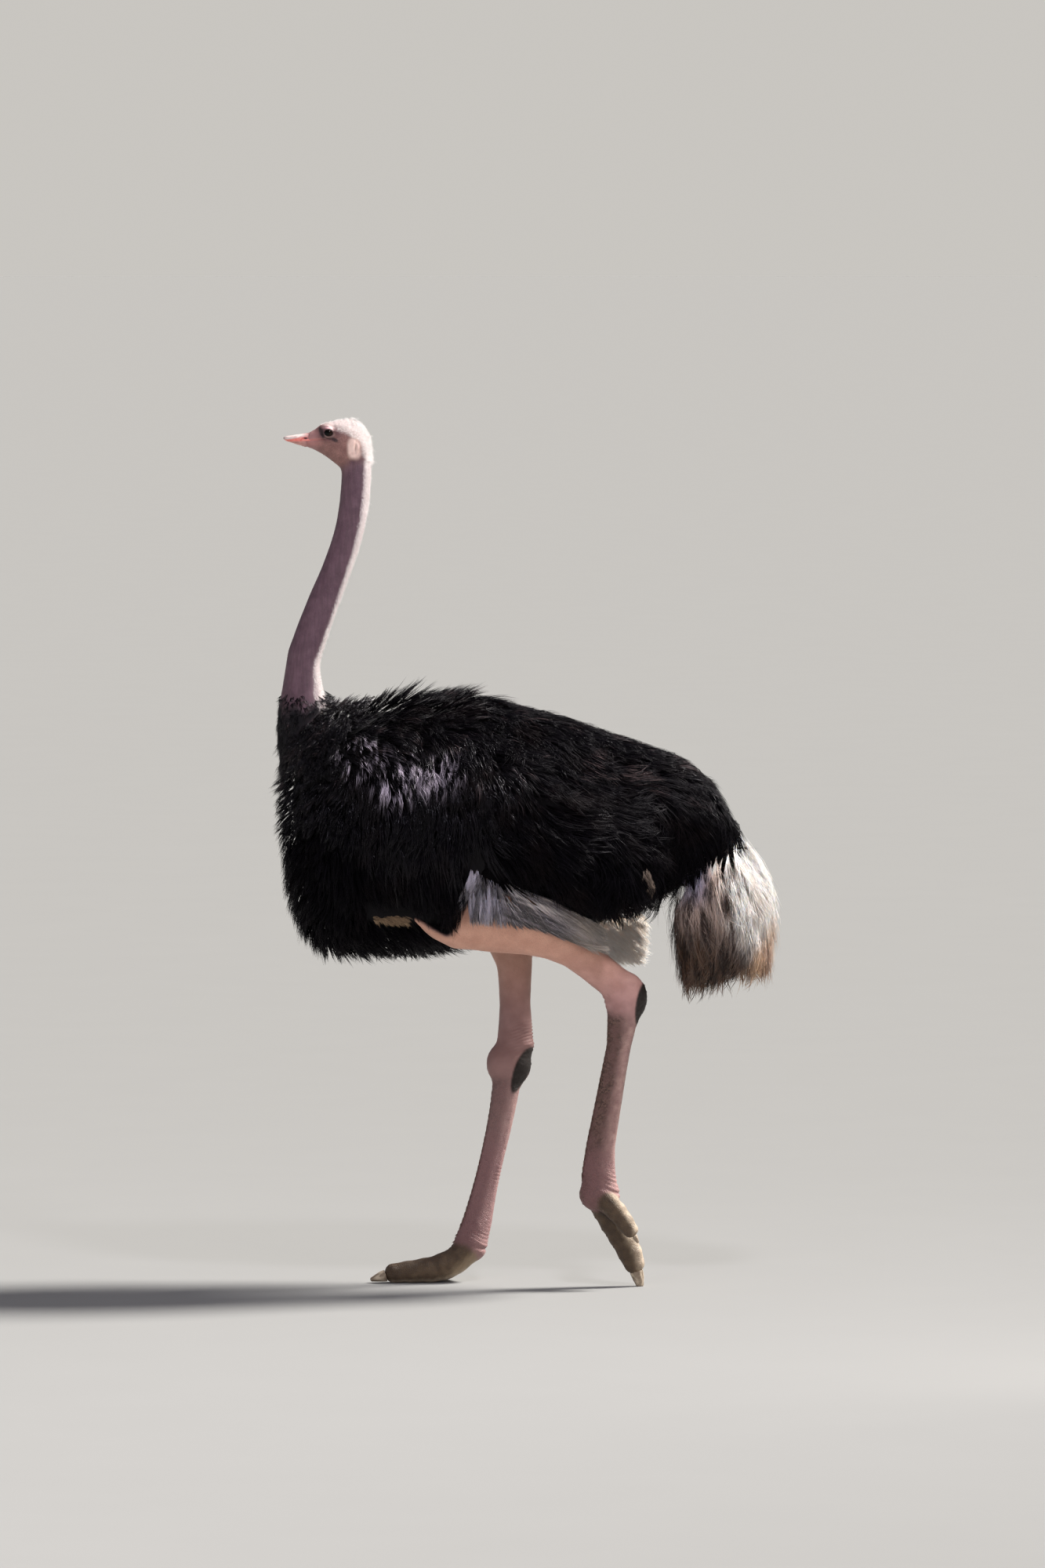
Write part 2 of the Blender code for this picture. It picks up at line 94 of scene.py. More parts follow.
EYES = {side: middle(f"eye_{side}") for side, _ in SIDES}
EYE_RADIUS = extent("eye_left")[2] / 2
GAPE = np.array([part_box("lower_bill")[1][0], 0.0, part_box("lower_bill")[1][2]])
BILL_TIP = np.array([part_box("upper_bill")[0][0], 0.0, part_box("upper_bill")[0][2]])
BILL_ROOT_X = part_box("upper_bill")[1][0]
MOUTH_SLOPE = (GAPE[2] - BILL_TIP[2]) / (GAPE[0] - BILL_TIP[0])


def mouth_height(x):
    """Where the closed bill's two halves meet."""
    return BILL_TIP[2] + (x - BILL_TIP[0]) * (GAPE[2] - BILL_TIP[2]) / (GAPE[0] - BILL_TIP[0])


def lip_height(x):
    """The mouth's line on the skin, which dips more steeply."""
    return GAPE[2] + (x - GAPE[0]) * MOUTH_SLOPE * 1.6


# ---------------------------------------------------------------- arrays and meshes
def unit(vectors):
    return vectors / np.maximum(np.linalg.norm(vectors, axis=-1, keepdims=True), 1e-9)


def ease(low, high, value):
    """0 below low, 1 above high, smooth between."""
    t = np.clip((value - low) / (high - low), 0.0, 1.0)
    return t * t * (3.0 - 2.0 * t)


def bump_at(distance, size):
    """1 at no distance, falling smoothly to nothing at about twice the size."""
    return np.exp(-(distance / size) ** 2)


def arrays_of(mesh):
    """Points and triangles of a mesh, as numpy arrays."""
    points = np.empty(len(mesh.vertices) * 3, np.float32)
    mesh.vertices.foreach_get("co", points)
    mesh.calc_loop_triangles()
    triangles = np.empty(len(mesh.loop_triangles) * 3, np.int32)
    mesh.loop_triangles.foreach_get("vertices", triangles)
    return points.reshape(-1, 3).astype(float), triangles.reshape(-1, 3)


def mesh_from(name, points, triangles):
    """A smooth-shaded mesh of the given points and triangles."""
    mesh = bpy.data.meshes.new(name)
    mesh.vertices.add(len(points))
    mesh.vertices.foreach_set("co", np.ascontiguousarray(points, np.float32).ravel())
    mesh.loops.add(triangles.size)
    mesh.loops.foreach_set("vertex_index", np.ascontiguousarray(triangles, np.int32).ravel())
    mesh.polygons.add(len(triangles))
    mesh.polygons.foreach_set("loop_start", np.arange(0, triangles.size, 3, dtype=np.int32))
    mesh.update(calc_edges=True)
    mesh.shade_smooth()
    return mesh


def object_from(name, mesh):
    made = bpy.data.objects.new(name, mesh)
    bpy.context.scene.collection.objects.link(made)
    return made


def evaluated(holder):
    """The mesh that an object's modifiers make.  The object is removed."""
    graph = bpy.context.evaluated_depsgraph_get()
    mesh = bpy.data.meshes.new_from_object(holder.evaluated_get(graph))
    bpy.data.objects.remove(holder)
    return mesh


def set_attribute(mesh, name, values):
    """Gives each point of a mesh its own number or vector."""
    values = np.asarray(values, np.float32)
    kind = "FLOAT" if values.ndim == 1 else "FLOAT_VECTOR"
    attribute = mesh.attributes.new(name, kind, "POINT")
    attribute.data.foreach_set("value" if values.ndim == 1 else "vector", values.ravel())


def point_normals(points, triangles):
    corners = points[triangles]
    faces = np.cross(corners[:, 1] - corners[:, 0], corners[:, 2] - corners[:, 0])
    total = np.zeros_like(points)
    for corner in range(3):
        for axis in range(3):
            total[:, axis] += np.bincount(triangles[:, corner], faces[:, axis], len(points))
    return unit(total)


class Relax:
    """Evens out values over a mesh by averaging each point with its neighbours."""

    def __init__(self, count, triangles):
        pairs = np.vstack([triangles[:, (0, 1)], triangles[:, (1, 2)], triangles[:, (2, 0)]])
        self.here, self.there, self.count = pairs[:, 0], pairs[:, 1], count
        self.degree = np.maximum(np.bincount(self.here, minlength=count), 1)

    def __call__(self, values, rounds, rate=0.5):
        columns = values.reshape(self.count, -1).copy()
        for _ in range(rounds):
            for axis in range(columns.shape[1]):
                mean = np.bincount(self.here, columns[self.there, axis], self.count) / self.degree
                columns[:, axis] += rate * (mean - columns[:, axis])
        return columns.reshape(values.shape)


def node_shape(node, inset=0.0, growth=0.0):
    """One solid's points and triangles, drawn in from each side of its box by inset, then grown."""
    shape = bmesh.new()
    shape.from_mesh(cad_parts[node].data)
    bmesh.ops.remove_doubles(shape, verts=shape.verts, dist=0.00001)
    merged = bpy.data.meshes.new(node + "_merged")
    shape.to_mesh(merged)
    shape.free()
    points, triangles = arrays_of(merged)
    bpy.data.meshes.remove(merged)
    centre, size = middle(node), extent(node)
    points = centre + (points - centre) * (1.0 - 2.0 * inset / size)
    return points + point_normals(points, triangles) * growth, triangles


def fused(shapes, voxel):
    """One closed shell round several overlapping shapes."""
    points = np.vstack([shape[0] for shape in shapes])
    starts = np.cumsum([0] + [len(shape[0]) for shape in shapes[:-1]])
    triangles = np.vstack([shape[1] + start for shape, start in zip(shapes, starts)])
    holder = object_from("fused", mesh_from("fused", points, triangles))
    remesh = holder.modifiers.new("Remesh", "REMESH")
    remesh.mode = "VOXEL"
    remesh.voxel_size = voxel
    mesh = evaluated(holder)
    found = arrays_of(mesh)
    bpy.data.meshes.remove(mesh)
    return found


def faired(points, triangles, rounds):
    """The same surface with its facets gone: smoothed, then moved back out by the smoothed loss."""
    relax = Relax(len(points), triangles)
    smooth = relax(points, rounds)
    normals = point_normals(smooth, triangles)
    loss = ((points - smooth) * normals).sum(1)
    return smooth + normals * relax(loss, rounds)[:, None]


class Ground:
    """A surface that answers which of its points is nearest."""

    def __init__(self, points, triangles):
        self.tree = BVHTree.FromPolygons(points.tolist(), triangles.tolist())

    def nearest(self, places):
        spots, normals = np.empty_like(places), np.empty_like(places)
        for i, place in enumerate(places.tolist()):
            spot, normal, _, _ = self.tree.find_nearest(place)
            spots[i], normals[i] = spot, normal
        return spots, normals


# ---------------------------------------------------------------- node trees
class Output:
    """What one node puts out.  Adding, taking away and multiplying outputs make Math nodes."""

    def __init__(self, socket):
        self.socket = socket

    def math(self, operation, *others):
        made = self.socket.id_data.nodes.new("ShaderNodeMath")
        made.operation = operation
        for socket, value in zip(made.inputs, (self, *others)):
            fill(socket, value)
        return Output(made.outputs[0])

    def __add__(self, other):
        return self.math("ADD", other)

    def __sub__(self, other):
        return self.math("SUBTRACT", other)

    def __mul__(self, other):
        return self.math("MULTIPLY", other)

    def __abs__(self):
        return self.math("ABSOLUTE")

    def or_more(self, other):
        return self.math("MAXIMUM", other)

    def share_of(self, low, high, to_low=0.0, to_high=1.0, kind="LINEAR"):
        """Low to high laid out evenly onto to_low to to_high."""
        nodes = Nodes(self.socket.id_data)
        return nodes.add("ShaderNodeMapRange", 0, {"interpolation_type": kind}, Value=self, From_Min=low,
                         From_Max=high, To_Min=to_low, To_Max=to_high)

    def ease(self, low, high, to_low=0.0, to_high=1.0):
        """The same, with soft ends."""
        return self.share_of(low, high, to_low, to_high, "SMOOTHSTEP")


def fill(socket, value):
    """Feeds a node's input from an output, or sets it to a number, a vector, a colour or a thing."""
    if isinstance(value, Output):
        socket.id_data.links.new(value.socket, socket)
    elif socket.type == "RGBA":
        socket.default_value = (*value, 1.0)
    else:
        socket.default_value = value


class Nodes:
    """A node tree that is being filled."""

    def __init__(self, tree):
        self.tree = tree

    def add(self, kind, output, settings=None, **inputs):
        """Adds a node with its settings and inputs, and gives one of its outputs."""
        made = self.tree.nodes.new(kind)
        for label, value in (settings or {}).items():
            setattr(made, label, value)
        for label, value in inputs.items():
            fill(made.inputs[label.replace("_", " ")], value)
        return Output(made.outputs[output])


# ---------------------------------------------------------------- the skin
def flesh():
    """The bird without its plumage, as one shell."""
    shapes = [node_shape("trunk", PLUME_DEPTH), node_shape("tail", 0.095)]
    shapes += [node_shape(f"wing_{side}", PLUME_DEPTH) for side, _ in SIDES]
    shapes += [node_shape(node, 0.0, FLESH_GROWTH) for node in NECK_NODES + HEAD_NODES + LEG_NODES]
    shapes += [node_shape(f"eye_{side}", 0.0, -0.0006) for side, _ in SIDES]
    points, triangles = fused(shapes, SKIN_VOXEL)
    return faired(points, triangles, 26), triangles


def refined(points, triangles, wanted):
    """Splits the edges of the wanted points once, which halves their spacing."""
    shape = bmesh.new()
    shape.from_mesh(mesh_from("refined", points, triangles))
    shape.verts.ensure_lookup_table()
    chosen = set(np.flatnonzero(wanted).tolist())
    edges = [edge for edge in shape.edges if edge.verts[0].index in chosen and edge.verts[1].index in chosen]
    bmesh.ops.subdivide_edges(shape, edges=edges, cuts=1, use_grid_fill=True, smooth=0.9)
    bmesh.ops.triangulate(shape, faces=shape.faces)
    mesh = bpy.data.meshes.new("refined")
    shape.to_mesh(mesh)
    shape.free()
    return arrays_of(mesh)


def eye_frame(points, side):
    """Where points lie from one eye, seen from its side: back, up and out from it, and all three as one."""
    centre = EYES[side]
    sign = np.sign(centre[1])
    offset = points - centre
    back = offset[:, 0] * math.cos(EYE_TILT) - offset[:, 2] * math.sin(EYE_TILT)
    up = offset[:, 0] * math.sin(EYE_TILT) + offset[:, 2] * math.cos(EYE_TILT)
    return back, up, offset[:, 1] * sign, offset


def shape_lids(points, side):
    """Pulls the skin's own points over the eyeball as two lids with an almond opening."""
    back, up, out, offset = eye_frame(points, side)
    own = np.linalg.norm(offset, axis=1)
    near = (own < EYE_RADIUS * 1.9) & (out > 0)
    # The upper lid is low and flat, the lower lid is rounder.
    half_high = np.where(up > 0, 0.0052 - 0.05 * np.abs(back + 0.001), 0.0074)
    almond = ((back - 0.0004) / 0.0094) ** 2 + (up / half_high) ** 2
    inside = EYE_RADIUS - 0.0024
    fold = 0.0010 * bump_at(almond - 1.35, 0.28) * np.where(up > 0, 1.8, 0.8) \
        - 0.0007 * bump_at(almond - 2.3, 0.4)
    lid = EYE_RADIUS + 0.0012 + fold
    radius = inside + (lid - inside) * ease(0.90, 1.08, almond)
    blend = 1.0 - ease(1.9, 4.6, almond)
    target = radius * blend + np.maximum(own, EYE_RADIUS + 0.0004) * (1 - blend)
    points[near] = (EYES[side] + unit(offset) * target[:, None])[near]


def head_relief(points):
    """Height to add along the normal over the head: brows, mouth corners, ears and throat folds."""
    x, y, z = points.T
    rise = np.zeros(len(points))
    for side, sign in SIDES:
        on_side = ease(0.004, 0.014, sign * y)
        back, up, _, _ = eye_frame(points, side)
        brow = bump_at(up - 0.0140 + 8.0 * (back + 0.006) ** 2, 0.0034) * bump_at(back + 0.005, 0.0130)
        under = bump_at(up + 0.0150 - 14.0 * (back - 0.002) ** 2, 0.0024) * bump_at(back - 0.004, 0.015)
        under = np.maximum(under, bump_at(back + 0.0220 + 0.5 * up, 0.0030) * bump_at(up + 0.002, 0.011))
        bag = bump_at(up + 0.0195 - 10.0 * back ** 2, 0.0036) * bump_at(back - 0.004, 0.018)
        lore = bump_at(back + 0.026, 0.011) * bump_at(up + 0.004, 0.008)
        cheek = bump_at(x - GAPE[0] - 0.022, 0.020) * bump_at(z - GAPE[2] + 0.010, 0.011)
        ear = middle(f"ear_{side}")
        slot = bump_at(x - ear[0] - 0.004, 0.0034) * bump_at(z - ear[2] + 0.001, 0.0125)
        rim = bump_at(np.hypot((x - ear[0]) / 0.017, (z - ear[2]) / 0.026) - 1.0, 0.22)
        fold = bump_at(np.hypot(x - ear[0] + 0.004, (z - ear[2] + 0.034) * 1.6), 0.008)
        rise += on_side * (0.0048 * brow - 0.0022 * under + 0.0014 * bag - 0.0020 * lore + 0.0012 * cheek
                           - 0.0060 * slot + 0.0010 * rim - 0.0026 * fold)
        # The mouth's line runs on behind the bill, with a soft lip under it.
        line = lip_height(x)
        reach = ease(BILL_TIP[0] - 0.01, BILL_TIP[0] + 0.02, x)
        reach = reach * (1 - ease(GAPE[0] + 0.004, GAPE[0] + 0.026, x))
        groove, lip = bump_at(z - line, 0.0014), bump_at(z - line + 0.004, 0.0022)
        rise += on_side * reach * (-0.0022 * groove + 0.0011 * lip)
        # Fine folds cross the throat below the mouth's corner.
        folds = np.sin((z + 0.35 * x) / 0.0042 * math.tau)
        rise += on_side * 0.0005 * folds * bump_at(x - GAPE[0] - 0.004, 0.016) \
            * bump_at(z - GAPE[2] + 0.014, 0.010)
    return rise


def nearest_node(points):
    """For each point, the index of the flesh node whose surface is nearest, and the list of nodes."""
    names = ["trunk", "tail", "wing_left", "wing_right"] + NECK_NODES + HEAD_NODES + LEG_NODES
    shapes = [arrays_of(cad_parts[name].data) for name in names]
    starts = np.cumsum([0] + [len(shape[0]) for shape in shapes[:-1]])
    owner = np.concatenate([np.full(len(shape[1]), i) for i, shape in enumerate(shapes)])
    tree = BVHTree.FromPolygons(np.vstack([shape[0] for shape in shapes]).tolist(),
                                np.vstack([shape[1] + s for shape, s in zip(shapes, starts)]).tolist())
    found = np.array([owner[tree.find_nearest(point)[2]] for point in points.tolist()])
    return found, names


def thin_out(mesh, plain, ratio):
    """Fewer triangles where the surface is plain: under the plumage and along the neck and the legs.

    ratio is the share of all triangles that is left.
    """
    holder = object_from("thin_out", mesh)
    group = holder.vertex_groups.new(name="plain")
    group.add(np.flatnonzero(plain).tolist(), 1.0, "REPLACE")
    decimate = holder.modifiers.new("Decimate", "DECIMATE")
    decimate.ratio = ratio
    decimate.vertex_group = "plain"
    decimate.vertex_group_factor = 50.0
    decimate.use_collapse_triangulate = True
    return evaluated(holder)


def refined_flesh():
    """The flesh with a finer mesh over the head, and finer again round each eye."""
    points, triangles = flesh()
    points, triangles = refined(points, triangles, points[:, 2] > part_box("head")[0][2] + 0.01)
    for reach in (0.032, 0.0225):
        near_eye = np.zeros(len(points), bool)
        for side, _ in SIDES:
            near_eye |= np.linalg.norm(points - EYES[side], axis=1) < reach
        points, triangles = refined(points, triangles, near_eye)
    return points, triangles


def part_masks(points, relax):
    """How far each point belongs to each part of the bird.  More rounds give a softer edge."""
    owner, names = nearest_node(points)
    head = ("head", "ear", "upper_bill", "lower_bill")
    foot = ("tarsus", "knuckle", "inner_toe", "outer_toe")
    parts = (("plumage", 6, ("trunk", "tail", "wing")), ("head", 14, head), ("face", 110, head),
             ("neck", 14, ("neck",)), ("leg", 10, ("drumstick", "hock", *foot)), ("scaly", 26, foot),
             ("toes", 6, ("inner_toe", "outer_toe")))
    masks = {}
    for label, rounds, wanted in parts:
        chosen = [i for i, name in enumerate(names) if name.startswith(wanted)]
        masks[label] = relax(np.isin(owner, chosen).astype(float), rounds)
    return masks


def collar_share(points):
    """1 at the foot of the neck, which the black collar covers, with a ragged upper edge."""
    x, y, z = points.T
    neck_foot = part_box("neck_base")[1][2]
    ragged = 0.014 * np.sin(np.arctan2(y, x - middle("neck_base")[0]) * 7) + 0.006 * np.sin(y * 310)
    return 1 - ease(neck_foot - 0.040, neck_foot - 0.002, z + ragged)


def drawn_in(points, normals, masks, nape, relax):
    """The skin drawn in by the depth of its down.

    It ends round the bill's root, just proud of the horn, and runs on inside it.
    """
    x, _, z = points.T
    inset = SKIN_INSET + (CROWN_INSET - SKIN_INSET) * nape * np.maximum(masks["head"], masks["neck"])
    inset = inset + FLESH_GROWTH
    root = BILL_ROOT_X + 0.25 * (z - GAPE[2]) - 0.004
    inset = inset - 0.0011 * bump_at(x - root - 0.004, 0.008)
    inset = np.where(masks["plumage"] > 0.5, 0.0, inset)
    points = points - normals * relax(inset, 3)[:, None]
    inner = masks["head"] * (1 - ease(root - 0.007, root - 0.001, x)) * (x < root)
    points[:, 1] *= 1 - 0.45 * inner
    points[:, 2] += (mouth_height(x) - points[:, 2]) * 0.45 * inner
    points[:, 0] += 0.006 * inner * (1 - ease(BILL_TIP[0] + 0.01, BILL_TIP[0] + 0.03, x))
    return points


def ear_shares(points):
    """The pale skin round each ear, the painted shade of the ear's slit, and how much of the nape's down is
    left there.
    """
    x, y, z = points.T
    pale, slits, downy = np.zeros(len(points)), np.zeros(len(points)), np.ones(len(points))
    for side, sign in SIDES:
        ear, own = middle(f"ear_{side}"), sign * y > 0.01
        oval = ((np.abs(x - ear[0]) / 0.0185) ** 3 + (np.abs(z - ear[2]) / 0.0285) ** 3) ** (1 / 3)
        pale = np.maximum(pale, (1 - ease(0.62, 1.22, oval)) * own)
        # Painted shade in the ear's slit, which is also cut into the skin.
        slit = bump_at(x - ear[0] - 0.004, 0.0022) * bump_at(z - ear[2] + 0.001, 0.0120) * own
        slits = np.maximum(slits, slit)
        downy = downy * (1 - 0.9 * (1 - ease(0.85, 1.25, oval)) * own)
    return pale, slits, downy


def build_skin():
    """The bird's skin in one piece, with a mask for each of its colours."""
    flesh_points, triangles = refined_flesh()
    relax = Relax(len(flesh_points), triangles)
    normals = point_normals(flesh_points, triangles)
    masks = part_masks(flesh_points, relax)
    masks["plumage"] = np.maximum(masks["plumage"], masks["neck"] * collar_share(flesh_points))
    nape = nape_share(flesh_points, normals)
    points = drawn_in(flesh_points, normals, masks, nape, relax)
    points += normals * (head_relief(points) * masks["head"])[:, None]
    for side, _ in SIDES:
        shape_lids(points, side)
    # Painted shade where the inner toes run in under the outer ones.
    masks["cleft"] = shaded_cleft_share(points)
    points += normals * (leg_relief(points, normals, masks) - 0.0030 * masks["cleft"])[:, None]
    points[:, 2] = np.maximum(points[:, 2], 0.0)

    masks["ear"], slits, downy = ear_shares(flesh_points)
    masks["nape"] = nape * downy
    masks["callus"] = callus_share(points)
    # Painted shade: the lines round each eye and, more weakly, each ear's slit.
    masks["shade_line"] = np.maximum(eye_shade_share(points), 0.55 * slits)
    masks["face_shade"] = face_shade_share(points)
    behind_bill = 1 - ease(BILL_ROOT_X + 0.006, BILL_ROOT_X + 0.034, flesh_points[:, 0])
    masks["bill_root"] = masks["head"] * behind_bill
    masks["brow"], masks["pale_lid"], masks["rosy"] = (share * masks["head"] for share in brow_shares(points))
    masks["shin"] = 1 - ease(-0.15, 0.55, normals[:, 0])
    masks["sole_and_highlight"] = sole_and_highlight_share(points, normals) * masks["toes"]
    mesh = mesh_from("skin", points, triangles)
    for label in sorted(masks.keys() - {"head", "neck"}):
        set_attribute(mesh, label, np.clip(masks[label], 0, 1))
    detailed = [np.clip(masks[label], 0, 1) for label in ("head", "toes", "callus", "cleft")]
    mesh = thin_out(mesh, relax(np.maximum.reduce(detailed), 3) < 0.03, 0.285)
    skin = object_from("skin", mesh)
    mesh.materials.append(skin_material())
    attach(skin, "root")
    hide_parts("trunk", *NECK_NODES, "head", "ear_left", "ear_right", *LEG_NODES)
    return skin


def nape_share(points, normals):
    """1 over the crown and down the back of the neck, where the white down grows; its width down the neck
    follows the sunlit strip, so it is partly painted light.
    """
    x, _, z = points.T
    low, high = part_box("head")
    crown = ease(high[2] - 0.070, high[2] - 0.022, z + 0.35 * (x - low[0]))
    crown = crown * ease(BILL_ROOT_X, BILL_ROOT_X + 0.05, x)
    crown = crown * ease(0.10, 0.70, normals[:, 2] + 0.8 * normals[:, 0])
    # The strip is narrowest halfway down the neck, where the sunlit strip is narrowest.
    narrow = 0.26 * bump_at(z - 1.68, 0.20)
    back = ease(0.20 + narrow, 0.75 + 0.7 * narrow, normals[:, 0])
    back = back * (1 - ease(high[2] - 0.05, high[2] - 0.02, z)) * ease(1.30, 1.50, z)
    return np.clip(np.maximum(crown, back), 0, 1)


def eye_shade_share(points):
    """Painted shade along the rims of the lids and in the creases in front of, under and behind each eye."""
    line = np.zeros(len(points))
    for side, _ in SIDES:
        back, up, out, _ = eye_frame(points, side)
        almond = ((back - 0.0004) / 0.0102) ** 2 + (up / np.where(up > 0, 0.0060, 0.0081)) ** 2
        lower = 0.30 + 0.5 * ease(0.004, 0.010, np.abs(back))
        rim = bump_at(almond - 0.92, 0.34) * np.where(up > 0, 1.0, lower)
        lid_fold = 0.65 * bump_at(up - 0.0088 + 12.0 * back ** 2, 0.0013) * bump_at(back, 0.012)
        under = 0.75 * bump_at(up + 0.0150 - 14.0 * (back - 0.002) ** 2, 0.0019) \
            * bump_at(back - 0.006, 0.013)
        corner = 1.9 * bump_at(up + 0.0160 + 0.25 * (back - 0.0195), 0.0042) * bump_at(back - 0.0170, 0.0085)
        front = 1.9 * bump_at(back + 0.0195 + 0.5 * up, 0.0054) * bump_at(up + 0.002, 0.0125)
        line = np.maximum(line, np.maximum.reduce([rim, lid_fold, under, corner, front]) * (out > -0.012))
    return np.clip(line, 0, 1)


def brow_shares(points):
    """The pink ridge over each eye, painted paler along it as a highlight, the pale lid under it, painted
    lighter along its edge, and the red skin along the mouth.
    """
    x, y, z = points.T
    brow, pale, rosy = (np.zeros(len(points)) for _ in range(3))
    for side, sign in SIDES:
        back, up, out, _ = eye_frame(points, side)
        over = bump_at(up - 0.0130 + 8.0 * (back + 0.004) ** 2, 0.0034) * bump_at(back + 0.003, 0.0125)
        brow = np.maximum(brow, over * (out > -0.01))
        almond = (back / 0.0142) ** 2 + (up / 0.0112) ** 2
        ring = bump_at(almond - 1.0, 0.34) * ease(0.001, -0.008, up - 0.3 * back)
        pale = np.maximum(pale, ring * (out > -0.01))
        line = lip_height(x)
        reach = 1 - ease(GAPE[0] - 0.028, GAPE[0] + 0.006, x)
        lips = 0.80 * bump_at(z - line - 0.0016, 0.0032) * reach
        lips = np.maximum(lips, 0.35 * bump_at(z - line + 0.008, 0.0050) * reach)
        rosy = np.maximum(rosy, lips * (sign * y > 0.002))
    return np.clip(brow, 0, 1), np.clip(pale, 0, 1), np.clip(rosy, 0, 1) * 0.85


def face_shade_share(points):
    """Painted shade: darker skin round each eye, at the lores and behind the mouth."""
    shade = np.zeros(len(points))
    x, y, z = points.T
    for side, sign in SIDES:
        back, up, _, _ = eye_frame(points, side)
        ear = middle(f"ear_{side}")
        ring = bump_at(np.hypot(back / 1.35 + 0.004, up + 0.001), 0.0165)
        temple = 0.8 * bump_at(np.hypot(back - 0.022, up - 0.004), 0.012)
        ring = np.maximum(ring, 1.2 * bump_at(np.hypot(back + 0.0170, (up + 0.001) * 0.7), 0.0080))
        fold = bump_at(np.hypot(x - ear[0] + 0.004, (z - ear[2] + 0.036) * 1.5), 0.009)
        shade = np.maximum(shade, np.maximum.reduce([ring, temple, fold]) * (sign * y > 0.004))
    return np.clip(shade, 0, 1)


def callus_share(points):
    """The black pads behind the hocks: long ovals that lean with each tarsus."""
    share = np.zeros(len(points))
    for side, reach, lean, half_high, drop in (("left", 0.050, 0.24, 0.068, 0.012),
                                               ("right", 0.036, 0.40, 0.062, 0.014)):
        x, y, z = (points - middle(f"hock_{side}")).T
        across = (x - reach - lean * (z + drop)) / (0.024 * (1 + 4.0 * (z + drop)))
        oval = across ** 2 + ((z + drop) / half_high) ** 2
        near = (np.abs(y) < 0.07) & (x > 0) & (x < 0.12)
        share = np.maximum(share, near * (1 - ease(0.70, 1.12, oval)))
    return share


def leg_relief(points, normals, masks):
    """Wrinkles above and below the hocks, tendon grooves, toe joints and the callus pads' rough swelling."""
    rise = np.zeros(len(points))
    x, y, z = points.T
    for side, _ in SIDES:
        hock, knuckle = middle(f"hock_{side}"), middle(f"knuckle_{side}")
        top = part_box(f"hock_{side}")[1][2]
        low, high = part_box(f"tarsus_{side}")
        near = (np.abs(y - hock[1]) < 0.07) * (np.abs(x - hock[0]) < 0.12)
        foot = np.linalg.norm(points - knuckle, axis=1) < 0.30
        # Fine rings of loose skin where the straight leg's joint has opened, coarser on the bent one.
        if side == "right":
            rings = np.sin((z - 0.22 * x) / 0.0085 * math.tau + 0.9 * np.sin(x * 120) + 0.6 * np.sin(y * 150))
            rise += near * 0.0019 * rings * masks["leg"] * bump_at(z - top - 0.010, 0.038) \
                * ease(-0.8, 0.3, normals[:, 0])
            rise += near * 0.0030 * bump_at(z - top + 0.012, 0.008) * ease(-0.2, 0.6, normals[:, 0])
        else:
            rings = np.sin((z + 0.9 * (x - hock[0])) / 0.0095 * math.tau + 0.8 * np.sin(y * 140))
            rise += near * 0.0014 * rings * bump_at(np.hypot(x - hock[0] + 0.045, z - hock[2] - 0.012), 0.036)
        folds = np.sin((z + 0.6 * (x - knuckle[0])) / 0.0105 * math.tau + np.sin(y * 90))
        rise += foot * 0.0011 * folds * masks["scaly"] * bump_at(z - low[2] - 0.022, 0.026)
        rise -= foot * 0.0045 * masks["scaly"] \
            * bump_at(z - low[2] - 0.006 + 0.35 * (x - knuckle[0]), 0.0045) * ease(-0.2, 0.7, normals[:, 0])
        groove = bump_at(np.abs(normals[:, 1]) - 0.93, 0.16) * ease(low[2] + 0.02, low[2] + 0.1, z)
        groove *= 1 - ease(high[2] - 0.11, high[2] - 0.02, z)
        rise -= near * 0.0024 * groove * masks["scaly"]
        # Each toe has swollen joints with pads under them.
        for toe, spacing in (("inner_toe", 0.043), ("outer_toe", 0.034)):
            start, end = knuckle, middle(toe.replace("toe", "claw") + f"_{side}")
            run = (points - start) @ unit(end - start)
            on_toe = masks["toes"] * foot * (np.abs(y - middle(f"{toe}_{side}")[1]) < 0.045)
            rise += on_toe * 0.0007 * np.cos(run / spacing * math.tau)
    rough = np.sin(x * 610) * np.sin(y * 640 + 1.3) * np.sin(z * 590 + 0.4)
    return rise + callus_share(points) * (0.0020 + 0.0012 * rough)


def shaded_cleft_share(points):
    """1 on each inner toe where it runs in under the outer one: painted shade, where the skin is also drawn
    in.
    """
    share = np.zeros(len(points))
    for side, _ in SIDES:
        close = np.flatnonzero(np.linalg.norm(points - middle(f"outer_toe_{side}"), axis=1) < 0.13)
        toes = [Ground(*arrays_of(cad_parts[f"{toe}_{side}"].data))
                for toe in ("inner_toe", "outer_toe")]
        inner, outer = [np.linalg.norm(points[close] - toe.nearest(points[close])[0], axis=1) for toe in toes]
        share[close] = ease(0.015, 0.003, outer) * ease(-0.002, 0.001, outer - inner)
    return share


def sole_and_highlight_share(points, normals):
    """The rough undersides of the toes.  On the near, lifted foot the mask faces back and to the near side,
    where it is also a painted highlight.
    """
    share = np.zeros(len(points))
    for side, _ in SIDES:
        under = np.array([0.78, -0.42, 0.05]) if side == "left" else np.array([0.1, 0.0, -1.0])
        near = np.linalg.norm(points - middle(f"inner_toe_{side}"), axis=1) < 0.20
        share = np.maximum(share, near * ease(0.45, 0.90, normals @ unit(under)))
    return share


